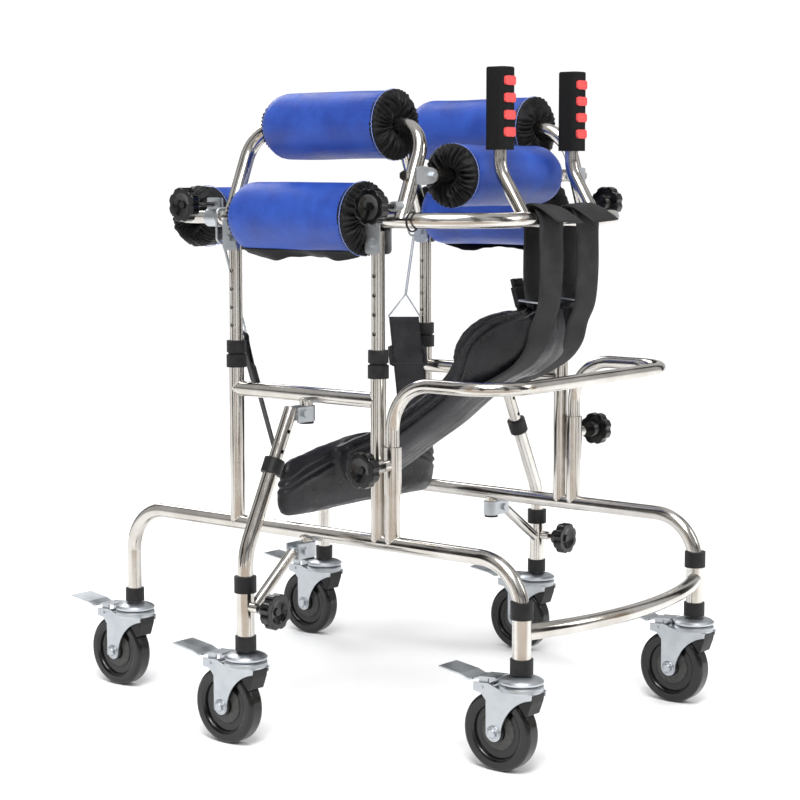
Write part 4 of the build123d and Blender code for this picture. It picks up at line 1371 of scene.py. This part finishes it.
def flag(name, azimuth, distance, width, bottom, top, color):
    """An upright card facing the walker."""
    a = math.radians(azimuth)
    spot = Vector((math.sin(a), -math.cos(a), 0)) * distance
    half = Vector((math.cos(a), math.sin(a), 0)) * (width / 2)
    low_edge, high_edge = Vector((0, 0, bottom)), Vector((0, 0, top))
    foot = [spot - half + low_edge, spot + half + low_edge]
    head = [spot + half + high_edge, spot - half + high_edge]
    card(name, foot + head, color)


DARK = (0.015, 0.014, 0.013)
TAN = (0.30, 0.24, 0.18)
WARM_GREY = (0.50, 0.44, 0.38)
TALL_FLAGS = ((-118, 1.1), (-64, 0.45), (-20, 0.5), (14, 1.0), (75, 0.8), (130, 1.3), (178, 0.9))
for number, (azimuth, width) in enumerate(TALL_FLAGS):
    flag(f"flag_dark_{number}", azimuth, 3.2, width, -0.5, 4.5, DARK)
for number, azimuth in enumerate((-111, -51, 9)):
    flag(f"flag_low_{number}", azimuth, 3.6, 3.0, 0.95, 1.45, DARK)
toward = Vector((-ahead.x, -ahead.y, 0)).normalized()
beside = Vector((toward.y, -toward.x, 0))
corners = []
for distance, offset in ((0.9, -1.6), (0.9, 1.6), (3.2, 2.6), (3.2, -2.6)):
    corners.append(toward * distance + beside * offset + Vector((0, 0, 4 * MM)))
card("floor_card", corners, WARM_GREY)
flag("flag_tan_left", -88, 3.4, 0.7, -0.5, 4.0, TAN)
flag("flag_tan_right", 38, 3.4, 0.6, -0.5, 4.0, TAN)


def lamp(name, place, aim, size, power, color=(1, 1, 1)):
    """A soft square lamp aimed at a point."""
    data = bpy.data.lights.new(name, "AREA")
    data.shape = "SQUARE"
    data.size = size
    data.energy = power
    data.color = color
    made = bpy.data.objects.new(name, data)
    bpy.context.scene.collection.objects.link(made)
    made.location = place
    made.rotation_euler = (Vector(aim) - Vector(place)).to_track_quat("-Z", "Y").to_euler()
    made.visible_camera = False


lamp("key", (-2.2, -1.6, 3.2), (0, 0, 0.6), 1.2, 60)
lamp("fill", (1.8, -3.0, 2.2), (0, 0, 0.6), 1.4, 30)
lamp("back", (1.5, 3.0, 3.0), (0, 0, 0.6), 1.6, 40)

world = bpy.data.worlds.new("studio")
bpy.context.scene.world = world
world.use_nodes = True
background = world.node_tree.nodes["Background"]
background.inputs["Color"].default_value = (1, 1, 1, 1)
background.inputs["Strength"].default_value = 0.55
backdrop_paint = Paint("backdrop_white", (1.0, 1.0, 1.0), emission_strength=1.0)
backdrop_paint.set("Base Color", (0, 0, 0, 1))
backdrop_paint.set("Emission Color", (1, 1, 1, 1))
ring = []
for height in (-1.0, 25.0):
    for step in range(48):
        turn = 2 * math.pi * step / 48
        ring.append(Vector((29 * math.cos(turn), 29 * math.sin(turn), height)))
backdrop = make("backdrop", ring, grid_faces(2, 48), backdrop_paint)
backdrop.visible_diffuse = False
backdrop.visible_glossy = False
backdrop.visible_shadow = False

sun_data = bpy.data.lights.new("soft_sun", "SUN")
sun_data.energy = 1.9
sun_data.angle = math.radians(35)
soft_sun = bpy.data.objects.new("soft_sun", sun_data)
bpy.context.scene.collection.objects.link(soft_sun)
soft_sun.rotation_euler = (Vector((0, 0, 0)) - Vector((-1.2, -0.9, 3.2))).to_track_quat("-Z", "Y").to_euler()
bpy.context.scene.view_settings.view_transform = "Standard"
